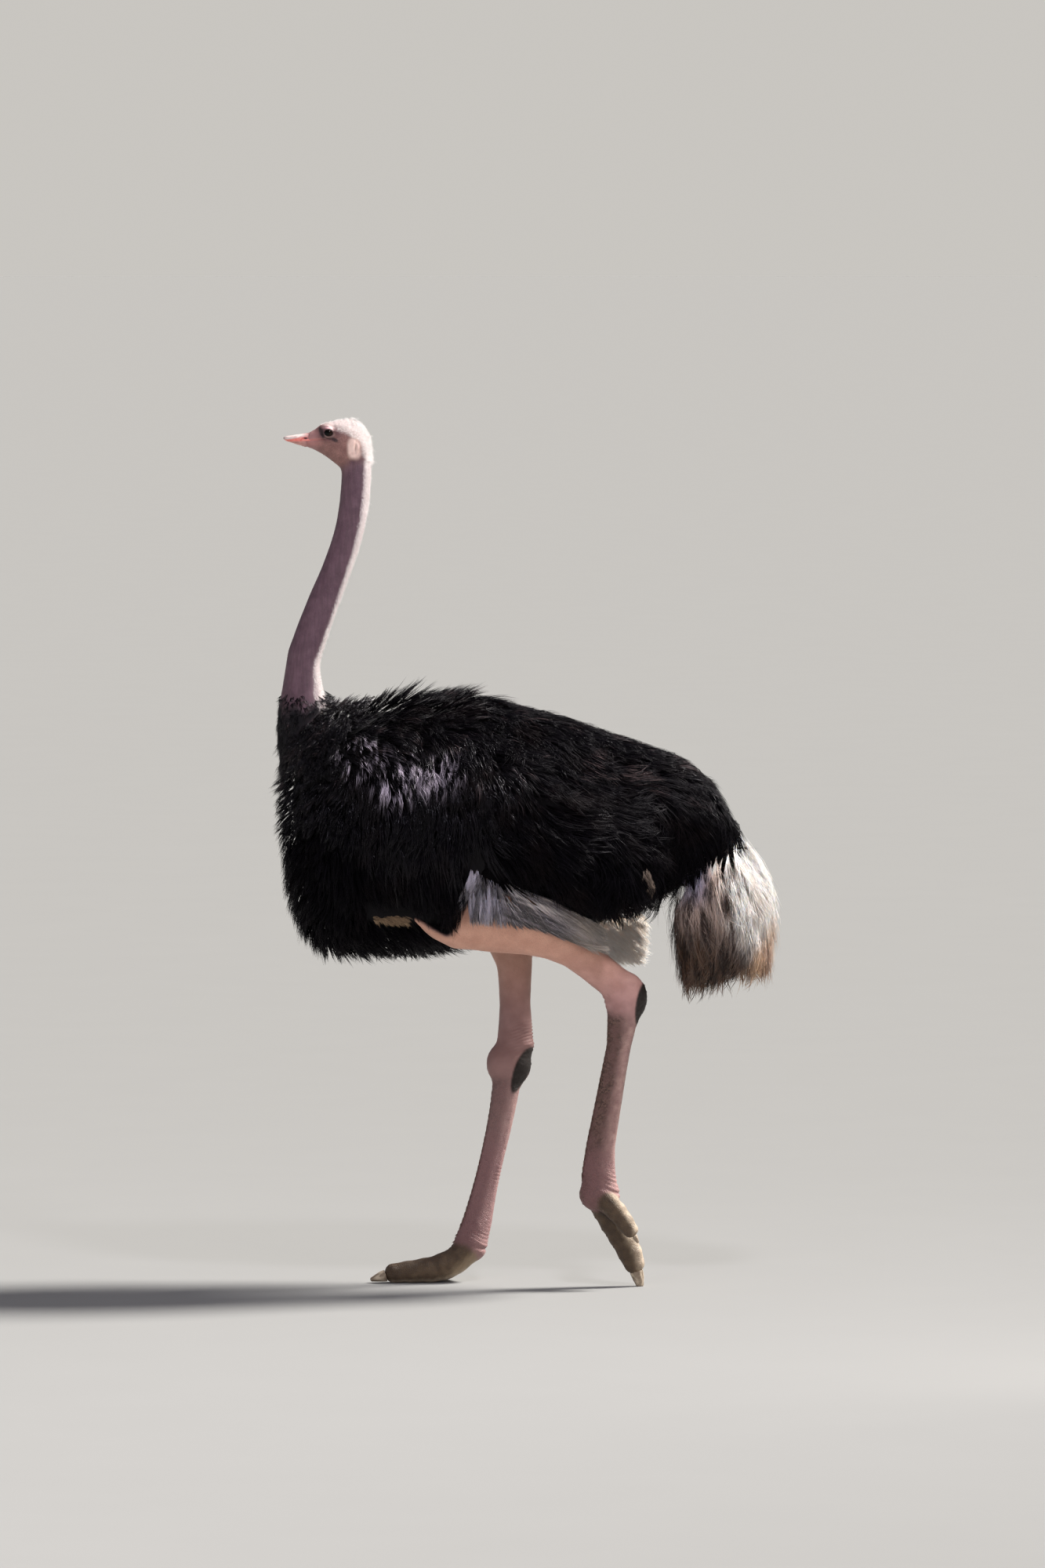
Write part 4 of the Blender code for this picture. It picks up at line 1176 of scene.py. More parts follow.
def build_down(skin, material, bristle):
    """White fuzz on the crown and nape, and sparse fine bristles over the rest of the neck and head."""
    rng = np.random.default_rng(15)
    points, triangles = arrays_of(skin.data)
    share = np.empty(len(points), np.float32)
    skin.data.attributes["nape"].data.foreach_get("value", share)
    face_share = share[triangles].mean(1)
    neck_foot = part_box("neck_base")[1][2]
    high_enough = points[triangles][:, :, 2].min(1) > neck_foot - 0.03
    on_bill = points[triangles][:, :, 0].min(1) < BILL_ROOT_X + 0.004
    head_low, head_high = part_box("head")
    on_skull = points[triangles][:, :, 2].mean(1) > head_low[2] + 0.030

    def off_eyes(spots, _):
        return np.minimum.reduce([np.linalg.norm(spots - EYES[side], axis=1) for side, _ in SIDES]) > 0.021

    crown, nape = (face_share > 0.06) & on_skull, (face_share > 0.04) & high_enough & ~on_skull
    bare = (face_share <= 0.22) & high_enough & ~on_bill
    for name, chosen, spacing, shortest, longest, width, barbs, dress in (
            ("down_crown", crown, 0.0020, 0.009, 0.019, 0.00030, 3, material),
            ("down_nape", nape, 0.0029, 0.007, 0.013, 0.00034, 3, material),
            ("down_neck", bare, 0.0052, 0.003, 0.006, 0.00024, 1, bristle)):
        spots, normals = scatter(points, triangles[chosen], spacing, rng, off_eyes)
        if dress is material:
            # The down thins out towards its edge.
            kept = rng.uniform(size=len(spots)) < ease(0.02, 0.55, nape_share(spots, normals)) + 0.02
            spots, normals = spots[kept], normals[kept]
        on_head = ease(head_low[2], head_low[2] + 0.05, spots[:, 2])
        way = np.stack([0.20 + 0.80 * on_head, 0 * on_head, -0.9 + 0.6 * on_head], 1)
        way = unit(way + rng.normal(0, 0.22, way.shape) + 0.22 * swirl(spots, 0.012, 16))
        way = unit(way - normals * (way * normals).sum(1)[:, None] + normals * 0.38)
        lengths = rng.uniform(shortest, longest, len(spots))
        if name == "down_crown":
            # Shorter over the brow, with one longer wisp at the back of the crown.
            lengths *= 0.55 + 0.45 * ease(BILL_ROOT_X + 0.02, BILL_ROOT_X + 0.09, spots[:, 0])
            wisp = bump_at(np.hypot(spots[:, 0] + 0.440, spots[:, 2] - head_high[2]), 0.012)
            lengths *= 1 + 0.9 * wisp
            way = unit(way + normals * wisp[:, None] * 1.5)
        share_along = np.linspace(0, 1, 5)[None, :, None]
        lines = spots[:, None] - normals[:, None] * 0.0006 \
            + way[:, None] * share_along * lengths[:, None, None]
        lines = lines + DOWN * (share_along ** 2) * lengths[:, None, None] * 0.22
        outs = np.repeat(normals[:, None], 5, axis=1)
        mesh = plumes(name, lines, outs, upright_map(spots, -0.5, 0, neck_foot, head_high[2]), rng, locks=1,
                      barbs=barbs, width=width, spread=longest * 0.22, start=0.1, reach=0.9, sweep=0.3,
                      wave=longest * 0.03, depth=0.0010, stations=3)
        finish_piece(name, mesh, dress, "head_skin")


# ---------------------------------------------------------------- bill, eyes, lashes, scutes and claws
def horn_piece(name, node, material, slot, voxel, growth, shape=None):
    """A horn solid with its facets smoothed away, and its points moved by shape."""
    points, triangles = fused([node_shape(node, 0.0, growth + 0.0004)], voxel)
    points = faired(points, triangles, 8)
    if shape:
        points = shape(points, point_normals(points, triangles))
    points[:, 2] = np.maximum(points[:, 2], 0.0)
    return finish_piece(name, mesh_from(name, points, triangles), material, slot, node)


def under_skin(points, normals):
    """The bill's root draws in, so that the skin closes over it."""
    dive = ease(BILL_ROOT_X - 0.013, BILL_ROOT_X - 0.001, points[:, 0])
    return points - normals * np.array([0.2, 1.0, 1.0]) * (0.0021 * dive)[:, None]


def deep_jaw(points, normals):
    """The lower bill deepens towards its root to meet the jaw, and ends inside it."""
    x, y, z = points.T
    mouth = mouth_height(x)
    deep = 0.12 * ease(BILL_TIP[0] + 0.010, BILL_TIP[0] + 0.030, x)
    points[:, 2] = z - np.maximum(mouth - z, 0) * deep
    inside = ease(BILL_ROOT_X - 0.001, BILL_ROOT_X + 0.012, x)
    points[:, 1] = y * (1 - 0.55 * inside)
    points[:, 2] += (mouth - points[:, 2]) * 0.55 * inside
    points[:, 2] += 0.0030 * ease(BILL_ROOT_X - 0.014, BILL_ROOT_X - 0.002, x) * (mouth - z > 0.004)
    return under_skin(points, normals)


def build_eye(side, sign, material):
    """An eyeball with a bulging front that looks out to the side and a little ahead."""
    shape = bmesh.new()
    bmesh.ops.create_uvsphere(shape, u_segments=48, v_segments=32, radius=EYE_RADIUS)
    mesh = bpy.data.meshes.new(f"eyeball_{side}")
    shape.to_mesh(mesh)
    shape.free()
    points, triangles = arrays_of(mesh)
    gaze = unit(np.array([-0.30, sign, -0.02]))
    angle = np.arccos(np.clip((unit(points) * gaze).sum(1), -1, 1))
    points = points + unit(points) * (0.0009 * bump_at(angle, 0.55))[:, None]
    mesh = mesh_from(f"eyeball_{side}", points + EYES[side], triangles)
    set_attribute(mesh, "gaze", angle)
    finish_piece(f"eyeball_{side}", mesh, material, "eye", f"eye_{side}")


LASH, PLATE = "lash", "plate"


def small_shape(nodes, kind):
    """A tapering lash, or a flat round plate, of unit size."""
    if kind == PLATE:
        return nodes.add("GeometryNodeMeshUVSphere", "Mesh", Segments=12, Rings=6)
    return nodes.add("GeometryNodeMeshCone", "Mesh", Vertices=5, Side_Segments=3, Radius_Top=0.05)


def planting_tree(name, kind, sizes, material):
    """A tree that sets one small shape on each point, turned by the point's facing and heading.

    Its three named inputs are the shape's sizes along X, Y and Z.
    """
    tree = bpy.data.node_groups.new(name, "GeometryNodeTree")
    tree.interface.new_socket("Geometry", in_out="INPUT", socket_type="NodeSocketGeometry")
    for label in sizes:
        tree.interface.new_socket(label, in_out="INPUT", socket_type="NodeSocketFloat")
    tree.interface.new_socket("Geometry", in_out="OUTPUT", socket_type="NodeSocketGeometry")
    given, result = tree.nodes.new("NodeGroupInput"), tree.nodes.new("NodeGroupOutput")
    nodes = Nodes(tree)
    scale = nodes.add("ShaderNodeCombineXYZ", 0,
                      **{axis: Output(given.outputs[label]) for axis, label in zip("XYZ", sizes)})
    shape = nodes.add("GeometryNodeTransform", "Geometry", Geometry=small_shape(nodes, kind), Scale=scale)

    def held(label, data_type):
        return nodes.add("GeometryNodeInputNamedAttribute", "Attribute", {"data_type": data_type}, Name=label)

    upright = nodes.add("FunctionNodeAlignRotationToVector", "Rotation", {"axis": "Z"},
                        Vector=held("facing", "FLOAT_VECTOR"))
    turned = nodes.add("FunctionNodeAlignRotationToVector", "Rotation", {"axis": "X", "pivot_axis": "Z"},
                       Rotation=upright, Vector=held("heading", "FLOAT_VECTOR"))
    spots = nodes.add("GeometryNodeMeshToPoints", "Points", Mesh=Output(given.outputs["Geometry"]))
    copies = nodes.add("GeometryNodeInstanceOnPoints", "Instances", Points=spots, Instance=shape,
                       Rotation=turned, Scale=held("size", "FLOAT"))
    real = nodes.add("GeometryNodeRealizeInstances", "Geometry", Geometry=copies)
    smooth = nodes.add("GeometryNodeSetShadeSmooth", "Geometry", Geometry=real)
    dressed = nodes.add("GeometryNodeSetMaterial", "Geometry", Geometry=smooth, Material=material)
    fill(result.inputs["Geometry"], dressed)
    return tree


def planted(name, tree, sizes, spots, facing, heading, size):
    """The mesh that a planting tree makes over the given points."""
    seeds = bpy.data.meshes.new(name)
    seeds.from_pydata(spots.tolist(), [], [])
    set_attribute(seeds, "facing", facing)
    set_attribute(seeds, "heading", heading)
    set_attribute(seeds, "size", size)
    holder = object_from(name, seeds)
    modifier = holder.modifiers.new("Plant", "NODES")
    modifier.node_group = tree
    for item in tree.interface.items_tree:
        if item.in_out == "INPUT" and item.name in sizes:
            modifier[item.identifier] = sizes[item.name]
    return evaluated(holder)


def build_lashes(material):
    """Stiff black lashes along each upper lid."""
    sizes = {"Thickness": 0.00026, "Breadth": 0.00026, "Length": 0.0052}
    tree = planting_tree("lash_tree", LASH, sizes, material)
    for side, sign in SIDES:
        turn = np.linspace(0.22, 0.86, 22) * math.pi
        back, up = -0.0126 * np.cos(turn), 0.0080 * np.sin(turn)
        x = back * math.cos(EYE_TILT) + up * math.sin(EYE_TILT)
        z = -back * math.sin(EYE_TILT) + up * math.cos(EYE_TILT)
        out = sign * np.sqrt(np.maximum((EYE_RADIUS + 0.0012) ** 2 - x ** 2 - z ** 2, 1e-6))
        spots = EYES[side] + np.stack([x, out, z], 1)
        facing = unit(np.stack([0.35 + 18 * back, 1.0 * sign + 0 * back, 0.15 + 0 * back], 1)
                      + np.random.default_rng(18).normal(0, 0.12, (len(back), 3)))
        heading = np.tile([1.0, 0.0, 0.0], (len(spots), 1))
        mesh = planted(f"lashes_{side}", tree, sizes, spots, facing, heading, 0.75 + 0.4 * np.sin(turn))
        finish_piece(f"lashes_{side}", mesh, material, "claw_horn")


def scute_row(ground, points, outward, count, start, end):
    """Where one row of plates sits: places on the skin, the ways that they face and run, and their sizes."""
    points, outward = np.array(points), unit(np.array(outward, float))
    steps = np.linalg.norm(np.diff(points, axis=0), axis=1)
    run = np.concatenate([[0], np.cumsum(steps)]) / steps.sum()
    share = np.linspace(0, 1, count)
    path = np.stack([np.interp(share, run, points[:, axis]) for axis in range(3)], 1)
    out = unit(np.stack([np.interp(share, run, outward[:, axis]) for axis in range(3)], 1))
    found = [ground.tree.ray_cast(Vector(p + o * 0.09), Vector(-o)) for p, o in zip(path, out)]
    path = np.array([hit[0] if hit[0] else p for hit, p in zip(found, path)])
    normal = np.array([hit[1] if hit[0] else o for hit, o in zip(found, out)])
    return path - normal * 0.0010, unit(normal * 2.0 + out), unit(np.gradient(path, axis=0)), \
        np.linspace(start, end, count)


def build_scutes(skin, material):
    """Overlapping plates down the front of each tarsus and along the tops of the toes."""
    sizes = {"Half length": 0.0076, "Half width": 0.0105, "Half height": 0.0013}
    tree = planting_tree("scute_tree", PLATE, sizes, material)
    ground = Ground(*arrays_of(skin.data))
    for side, _ in SIDES:
        hock, knuckle = middle(f"hock_{side}"), middle(f"knuckle_{side}")
        shin = [hock + [0, 0, -0.060], (hock + knuckle) / 2, knuckle + [0, 0, 0.045]]
        rows = [scute_row(ground, shin, [[-1, 0, 0]] * 3, 25, 1.0, 1.25)]
        for toe, count, start, end in (("inner_toe", 13, 0.85, 0.6), ("outer_toe", 8, 0.65, 0.45)):
            claw, centre = middle(toe.replace("toe", "claw") + f"_{side}"), middle(f"{toe}_{side}")
            lift = np.array([-0.85, 0, 0.3]) if side == "left" else np.array([-0.25, 0, 1.0])
            top = [knuckle * 0.85 + centre * 0.15, centre, claw * 0.75 + centre * 0.25]
            rows.append(scute_row(ground, top, [lift + [-0.5, 0, 0.2], lift, lift], count, start, end))
        spots, facing, heading, size = (np.concatenate(column) for column in zip(*rows))
        mesh = planted(f"scutes_{side}", tree, sizes, spots, facing, heading, size)
        finish_piece(f"scutes_{side}", mesh, material, "leg_skin")


# ---------------------------------------------------------------- materials
class Paint(Nodes):
    """Nodes for colours and masks, with the patterns that the materials share."""

    def place(self):
        return self.add("ShaderNodeTexCoord", "Object")

    def axis(self, label):
        return self.add("ShaderNodeSeparateXYZ", label, Vector=self.place())

    def mask(self, name):
        """A value that the mesh holds at each point."""
        return self.add("ShaderNodeAttribute", "Fac", {"attribute_name": name})

    def noise(self, scale, detail=3.0, place=None):
        return self.add("ShaderNodeTexNoise", "Fac", Vector=place or self.place(), Scale=scale, Detail=detail)

    def streaks(self, stretch, detail=3.0, place=None):
        group = {"node_tree": mask_group("streaks", STREAK_INPUTS, streaked)}
        return self.add("ShaderNodeGroup", "Mask", group, Place=place or self.place(), Stretch=stretch,
                        Detail=detail)

    def mottle(self, scale, contrast):
        group = {"node_tree": mask_group("mottle", MOTTLE_INPUTS, mottled)}
        return self.add("ShaderNodeGroup", "Mask", group, Scale=scale, Contrast=contrast)

    def away_from(self, centre, place):
        made = self.tree.nodes.new("ShaderNodeVectorMath")
        made.operation = "DISTANCE"
        fill(made.inputs[0], place)
        fill(made.inputs[1], centre)
        return Output(made.outputs["Value"])

    def bump(self, height, strength, distance):
        return self.add("ShaderNodeBump", "Normal", Height=height, Strength=strength, Distance=distance)


class Finish(Paint):
    """A material that is being made."""

    def __init__(self, name):
        self.material = bpy.data.materials.new(name)
        self.material.use_nodes = True
        super().__init__(self.material.node_tree)

    def done(self, **inputs):
        """Feeds the shader's inputs and gives the finished material."""
        shader = self.tree.nodes["Principled BSDF"]
        for label, value in inputs.items():
            fill(shader.inputs[label.replace("_", " ")], value)
        return self.material


def mix(factor, first, second):
    """The first colour where the factor is 0, the second where it is 1."""
    made = factor.socket.id_data.nodes.new("ShaderNodeMix")
    made.data_type = "RGBA"
    for index, value in ((0, factor), (6, first), (7, second)):
        fill(made.inputs[index], value)
    return Output(made.outputs[2])


MOTTLE_INPUTS = {"Scale": "NodeSocketFloat", "Contrast": "NodeSocketFloat"}
STREAK_INPUTS = {"Place": "NodeSocketVector", "Stretch": "NodeSocketVector", "Detail": "NodeSocketFloat"}


def mottled(paint, scale, contrast):
    """Uneven patches of a given size."""
    return paint.add("ShaderNodeClamp", 0, Value=(paint.noise(scale, 4.0) - 0.5) * contrast + 0.5)


def streaked(paint, place, stretch, detail):
    """Noise with a scale of its own along each axis, so that it runs along the coarsest one."""
    return paint.noise(1.0, detail, paint.add("ShaderNodeMapping", 0, Vector=place, Scale=stretch))


def mask_group(name, inputs, pattern):
    """A shader group with named inputs that puts out one mask.  It is built once and shared."""
    group = bpy.data.node_groups.get(name)
    if group:
        return group
    group = bpy.data.node_groups.new(name, "ShaderNodeTree")
    for label, kind in inputs.items():
        group.interface.new_socket(label, in_out="INPUT", socket_type=kind)
    group.interface.new_socket("Mask", in_out="OUTPUT", socket_type="NodeSocketFloat")
    given, result = group.nodes.new("NodeGroupInput"), group.nodes.new("NodeGroupOutput")
    mask = pattern(Paint(group), *(Output(given.outputs[label]) for label in inputs))
    fill(result.inputs["Mask"], mask)
    return group


def neck_colour(paint):
    """Mauve, with fine pale grains and faint darker bands along it."""
    neck = mix(paint.mottle(40, 2.5), (0.108, 0.056, 0.079), (0.160, 0.089, 0.118))
    bands = paint.streaks((160.0, 160.0, 14.0))
    neck = mix(bands.ease(0.42, 0.62, 0.0, 0.45), neck, (0.085, 0.047, 0.060))
    return mix(paint.noise(900.0, 2.0).ease(0.62, 0.74, 0.0, 0.30), neck, (0.36, 0.27, 0.29))


def head_colour(paint):
    """Brown-pink, with painted shade round the eyes, and pale lids and pink brows that carry painted
    highlights.
    """
    head = mix(paint.mottle(60, 3.0), (0.225, 0.108, 0.096), (0.330, 0.170, 0.150))
    head = mix(paint.mottle(330, 6.0) * 0.4, head, (0.135, 0.062, 0.056))
    # Painted shade round the eyes, at the lores and behind the mouth.
    head = mix(paint.mask("face_shade") * 0.92, head, (0.090, 0.038, 0.050))
    # The pale lids and the pink brows include painted highlights.
    head = mix(paint.mask("pale_lid") * 0.65, head, (0.30, 0.20, 0.175))
    brow = mix(paint.mottle(200, 3.0), (0.72, 0.39, 0.43), (0.88, 0.56, 0.58))
    return mix(paint.mask("brow") * 0.9, head, brow)


def drumstick_colour(paint):
    """Warm above, mauve-brown towards the hock, darker on the far leg as painted shade."""
    height, far = paint.axis("Z"), paint.axis("Y").ease(-0.02, 0.04)
    thigh = mix(paint.mottle(26, 2.5), (0.58, 0.300, 0.215), (0.72, 0.400, 0.295))
    thigh = mix(paint.noise(700.0, 2.0).ease(0.52, 0.66, 0.0, 0.45), thigh, (0.30, 0.16, 0.125))
    lower = mix(paint.mottle(30, 3.5), (0.340, 0.175, 0.185), (0.540, 0.310, 0.315))
    # Painted shade: the far leg's shank is darker.
    lower = mix(far, lower, mix(paint.mottle(30, 3.5), (0.250, 0.135, 0.125), (0.370, 0.215, 0.200)))
    lower = mix(height.ease(0.80, 0.70, 0.0, 0.45), lower, (0.300, 0.165, 0.155))
    return mix(height.ease(0.66, 0.92), lower, thigh)


def tarsus_colour(paint):
    """Dark and speckled down the scaly front, paler behind, partly as painted light on the rear edge, and
    paler on the far leg as painted light.
    """
    cells = paint.add("ShaderNodeTexVoronoi", "Color", Vector=paint.place(), Scale=SCALE_CELLS)
    speckle = paint.add("ShaderNodeSeparateColor", 0, Color=cells).ease(0.15, 0.9)
    dark = mix(speckle, (0.060, 0.032, 0.025), (0.160, 0.090, 0.072))
    dark = mix(paint.mottle(34, 4.0), dark, (0.150, 0.078, 0.070))
    pale = mix(paint.mottle(50, 3.0), (0.330, 0.190, 0.180), (0.500, 0.320, 0.285))
    # Paler behind: the leg's own colour together with painted light.
    tarsus = mix(paint.mask("shin"), pale, dark)
    # Painted light: the far tarsus is paler.
    tarsus = mix(paint.axis("Y").ease(-0.02, 0.04, 0.0, 0.45), tarsus, (0.330, 0.195, 0.190))
    return mix(paint.axis("Z").ease(0.42, 0.30, 0.0, 0.55), tarsus, (0.255, 0.125, 0.130))


def toe_colour(paint):
    """Brown, darkest in front as painted shade and pale behind as a painted highlight, with paler soles."""
    shin = paint.mask("shin")
    toes = mix(paint.mottle(60, 3.0), (0.095, 0.060, 0.032), (0.205, 0.138, 0.078))
    # Painted shade on faces turned forward, then a painted highlight on faces turned back.
    toes = mix(shin * 0.6, toes, (0.045, 0.026, 0.018))
    toes = mix(shin.ease(0.6, 0.1, 0.0, 0.6), toes, (0.36, 0.265, 0.170))
    # The undersides' mask is also a painted highlight on the near foot.
    return mix(paint.mask("sole_and_highlight"), toes, mix(paint.mottle(60, 3.0), (0.26, 0.200, 0.145), (0.50, 0.40, 0.30)))


def skin_bump(paint):
    """Scales on the lower legs, fine creases and broader folds everywhere."""
    edges = paint.add("ShaderNodeTexVoronoi", "Distance", {"feature": "DISTANCE_TO_EDGE"},
                      Vector=paint.place(), Scale=SCALE_CELLS)
    scales = edges.ease(0.0, 0.22) * paint.mask("scaly")
    return paint.bump(scales + paint.noise(420, 4.0) * 0.55 + paint.noise(110, 2.0) * 0.6, 0.55, 0.0014)


def skin_material():
    paint = Finish("skin")
    ear = mix(paint.mottle(120, 2.0), (0.74, 0.50, 0.44), (0.92, 0.70, 0.62))
    leg = mix(paint.mask("scaly"), drumstick_colour(paint), tarsus_colour(paint))
    leg = mix(paint.mask("toes"), leg, toe_colour(paint))
    colour = mix(paint.mask("leg"), neck_colour(paint), leg)
    colour = mix(paint.mask("face"), colour, head_colour(paint))
    colour = mix(paint.mask("ear"), colour, ear)
    # Among these, the nape's pale tint is partly painted light, and the shade lines and the tint where the
    # toes meet are painted shade.
    for name, strength, tint in (("nape", 0.75, (0.78, 0.68, 0.67)),
                                 ("bill_root", 0.85, (0.38, 0.195, 0.190)),
                                 ("rosy", 1.0, (0.60, 0.22, 0.19)),
                                 ("shade_line", 0.92, (0.030, 0.015, 0.018)),
                                 ("cleft", 0.9, (0.020, 0.012, 0.009)),
                                 ("callus", 1.0, (0.014, 0.008, 0.006)),
                                 ("plumage", 1.0, (0.006, 0.005, 0.007))):
        colour = mix(paint.mask(name) * strength, colour, tint)
    rough = paint.noise(120).ease(0.3, 0.7, 0.50, 0.70).or_more(paint.mask("plumage"))
    return paint.done(Base_Color=colour, Roughness=rough, Subsurface_Weight=0.06,
                      Subsurface_Radius=(0.010, 0.004, 0.003), Normal=skin_bump(paint))


def cape_shine(paint, tone, along):
    """Painted highlights where the cape and the shoulder catch the light, in streaks."""
    place = paint.place()
    shine = None
    for centre, reach in (((-0.235, -0.30, 1.345), 0.115), ((-0.42, -0.25, 1.375), 0.110),
                          ((-0.335, -0.28, 1.30), 0.10)):
        spot = paint.away_from(centre, place).ease(reach, reach * 0.25)
        shine = spot if shine is None else shine.or_more(spot)
    streak = (paint.streaks((75.0, 30.0, 16.0), place=place) + tone * 0.16).ease(0.53, 0.67)
    return shine * streak * along.ease(0.25, 0.6)


def black_feather_material(name, smoothest, roughest, gloss, shines):
    """Near black and brown where worn, with painted highlights: brownish on some barbs high on the body, and
    purple-white where it shines.
    """
    paint = Finish(name)
    tone, along = paint.mask("tone"), paint.mask("along")
    colour = mix(tone, (0.0012, 0.0010, 0.0016), (0.0050, 0.0040, 0.0062))
    worn = paint.noise(9.0, 2.0).ease(0.48, 0.72) * along
    colour = mix(worn * 0.40, colour, (0.014, 0.008, 0.007))
    # Painted highlight: brownish glints on some barbs high on the body.
    painted_top_highlight = tone.ease(0.62, 0.80) * paint.noise(14.0).ease(0.50, 0.62) * paint.axis("Z").ease(1.16, 1.32)
    colour = mix(painted_top_highlight * 0.8, colour, (0.085, 0.060, 0.062))
    if shines:
        # Painted purple-white highlights in streaks over the cape and the shoulders.
        colour = mix(cape_shine(paint, tone, along) * 0.95, colour, (0.84, 0.73, 0.90))
    wet = paint.noise(26.0, 2.0) * 0.75 + tone * 0.25
    return paint.done(Base_Color=colour, Roughness=wet.ease(0.34, 0.66, smoothest, roughest),
                      Specular_IOR_Level=gloss, Specular_Tint=(0.93, 0.89, 1.0))


def white_feather_material():
    """The tail's plumes: white behind, grey-brown in front and below, stained and partly painted shade,
    russet along the hem.
    """
    paint = Finish("white_plumage")
    low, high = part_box("tail")
    back, up = (paint.axis("XYZ"[axis]).share_of(low[axis], high[axis]) for axis in (0, 2))
    tone, streak = paint.mask("tone"), paint.streaks((42.0, 42.0, 9.0)) - 0.5
    loose = streak * 1.3 + (tone - 0.5) * 0.55
    bold = (tone * 0.45 + streak * 2.4).ease(-0.06, 0.54)
    white = mix(bold, (0.86, 0.79, 0.75), (1.0, 0.975, 0.955))
    mauve = mix(bold, (0.046, 0.027, 0.023), (0.64, 0.49, 0.44))
    lilac = mix(bold, (0.060, 0.055, 0.078), (0.56, 0.52, 0.70))
    mauve = mix(back.ease(0.42, 0.22) * up.ease(0.50, 0.70), mauve, lilac)
    brown = mix(bold, (0.010, 0.0045, 0.0024), (0.110, 0.053, 0.028))
    russet = mix(bold, (0.24, 0.105, 0.045), (0.88, 0.60, 0.40))
    # White reaches forward high up, brown and painted shade climb in front, and the front edge is nearly
    # black.
    pale = back + up * 0.30 + loose * 0.45
    colour = mix(pale.ease(0.66, 0.88), mauve, white)
    dark = up + back * 0.16 - loose * 0.40
    colour = mix(dark.ease(0.26, 0.50, 0.95, 0.0), colour, brown)
    colour = mix((back + loose * 0.10).ease(0.10, 0.03, 0.0, 0.9), colour, (0.020, 0.012, 0.011))
    colour = mix((back - up).ease(0.48, 0.66, 0.0, 0.75), colour, russet)
    return paint.done(Base_Color=colour, Roughness=0.62, Specular_IOR_Level=0.2, Subsurface_Weight=0.7,
                      Subsurface_Radius=(0.006, 0.005, 0.004), Sheen_Weight=0.1)


def pale_feather_material():
    """Silky lavender strands in front, then grey-mauve flight feathers with a painted highlight along their
    upper part and painted shade along the hem over the thigh, buff behind.
    """
    paint = Finish("pale_flight_feathers")
    back, tone = paint.axis("X"), paint.mask("tone")
    # Height over a line that slopes down along the thigh.
    over = back * 0.29 + (paint.axis("Z") - 0.905) + (tone - 0.5) * 0.05
    trail = paint.add("ShaderNodeVectorRotate", 0, {"rotation_type": "Y_AXIS"}, Vector=paint.place(),
                      Angle=-0.40)
    band = paint.streaks((7.0, 60.0, 110.0), 2.0, trail) + (tone - 0.5) * 0.22
    vane = mix(band.ease(0.36, 0.66), (0.022, 0.015, 0.020), (0.250, 0.205, 0.240))
    # Painted highlight on the upper part of the flight feathers.
    upper = mix(band.ease(0.36, 0.62), (0.13, 0.105, 0.115), (0.66, 0.59, 0.57))
    vane = mix(over.ease(0.060, 0.100), vane, upper)
    # Painted shade along the hem, where the feathers lie on the thigh.
    vane = mix(over.ease(0.040, 0.018, 0.0, 0.85), vane, (0.018, 0.012, 0.014))
    sheen = (paint.streaks((70.0, 70.0, 9.0)) + tone * 0.25).ease(0.48, 0.80)
    silk = mix(sheen, (0.060, 0.050, 0.068), (0.50, 0.46, 0.56))
    vane = mix(back.ease(-0.035, -0.075), vane, silk)
    buff = mix(tone, (0.20, 0.15, 0.12), (0.66, 0.57, 0.50))
    vane = mix(back.ease(0.08, 0.16) * 0.7, vane, buff)
    colour = mix(paint.mask("shaft"), vane, (0.55, 0.50, 0.53))
    return paint.done(Base_Color=colour, Subsurface_Weight=0.7, Subsurface_Radius=(0.006, 0.005, 0.004),
                      Sheen_Weight=0.3, Roughness=0.45)


def fluff_material():
    """The far wing's soft, cream under-feathers, browner in patches."""
    paint = Finish("cream_fluff")
    fluff = mix(paint.mask("tone"), (0.84, 0.61, 0.49), (1.0, 0.88, 0.78))
    fluff = mix(paint.noise(30.0, 2.0).ease(0.60, 0.72, 0.0, 0.6), fluff, (0.42, 0.28, 0.21))
    return paint.done(Base_Color=fluff, Roughness=0.6, Subsurface_Weight=1.0,
                      Subsurface_Radius=(0.030, 0.026, 0.022), Specular_IOR_Level=0.2, Sheen_Weight=0.4,
                      Sheen_Roughness=0.5)


def down_material(name, dark, light):
    paint = Finish(name)
    return paint.done(Base_Color=mix(paint.mask("tone"), dark, light), Roughness=0.8)


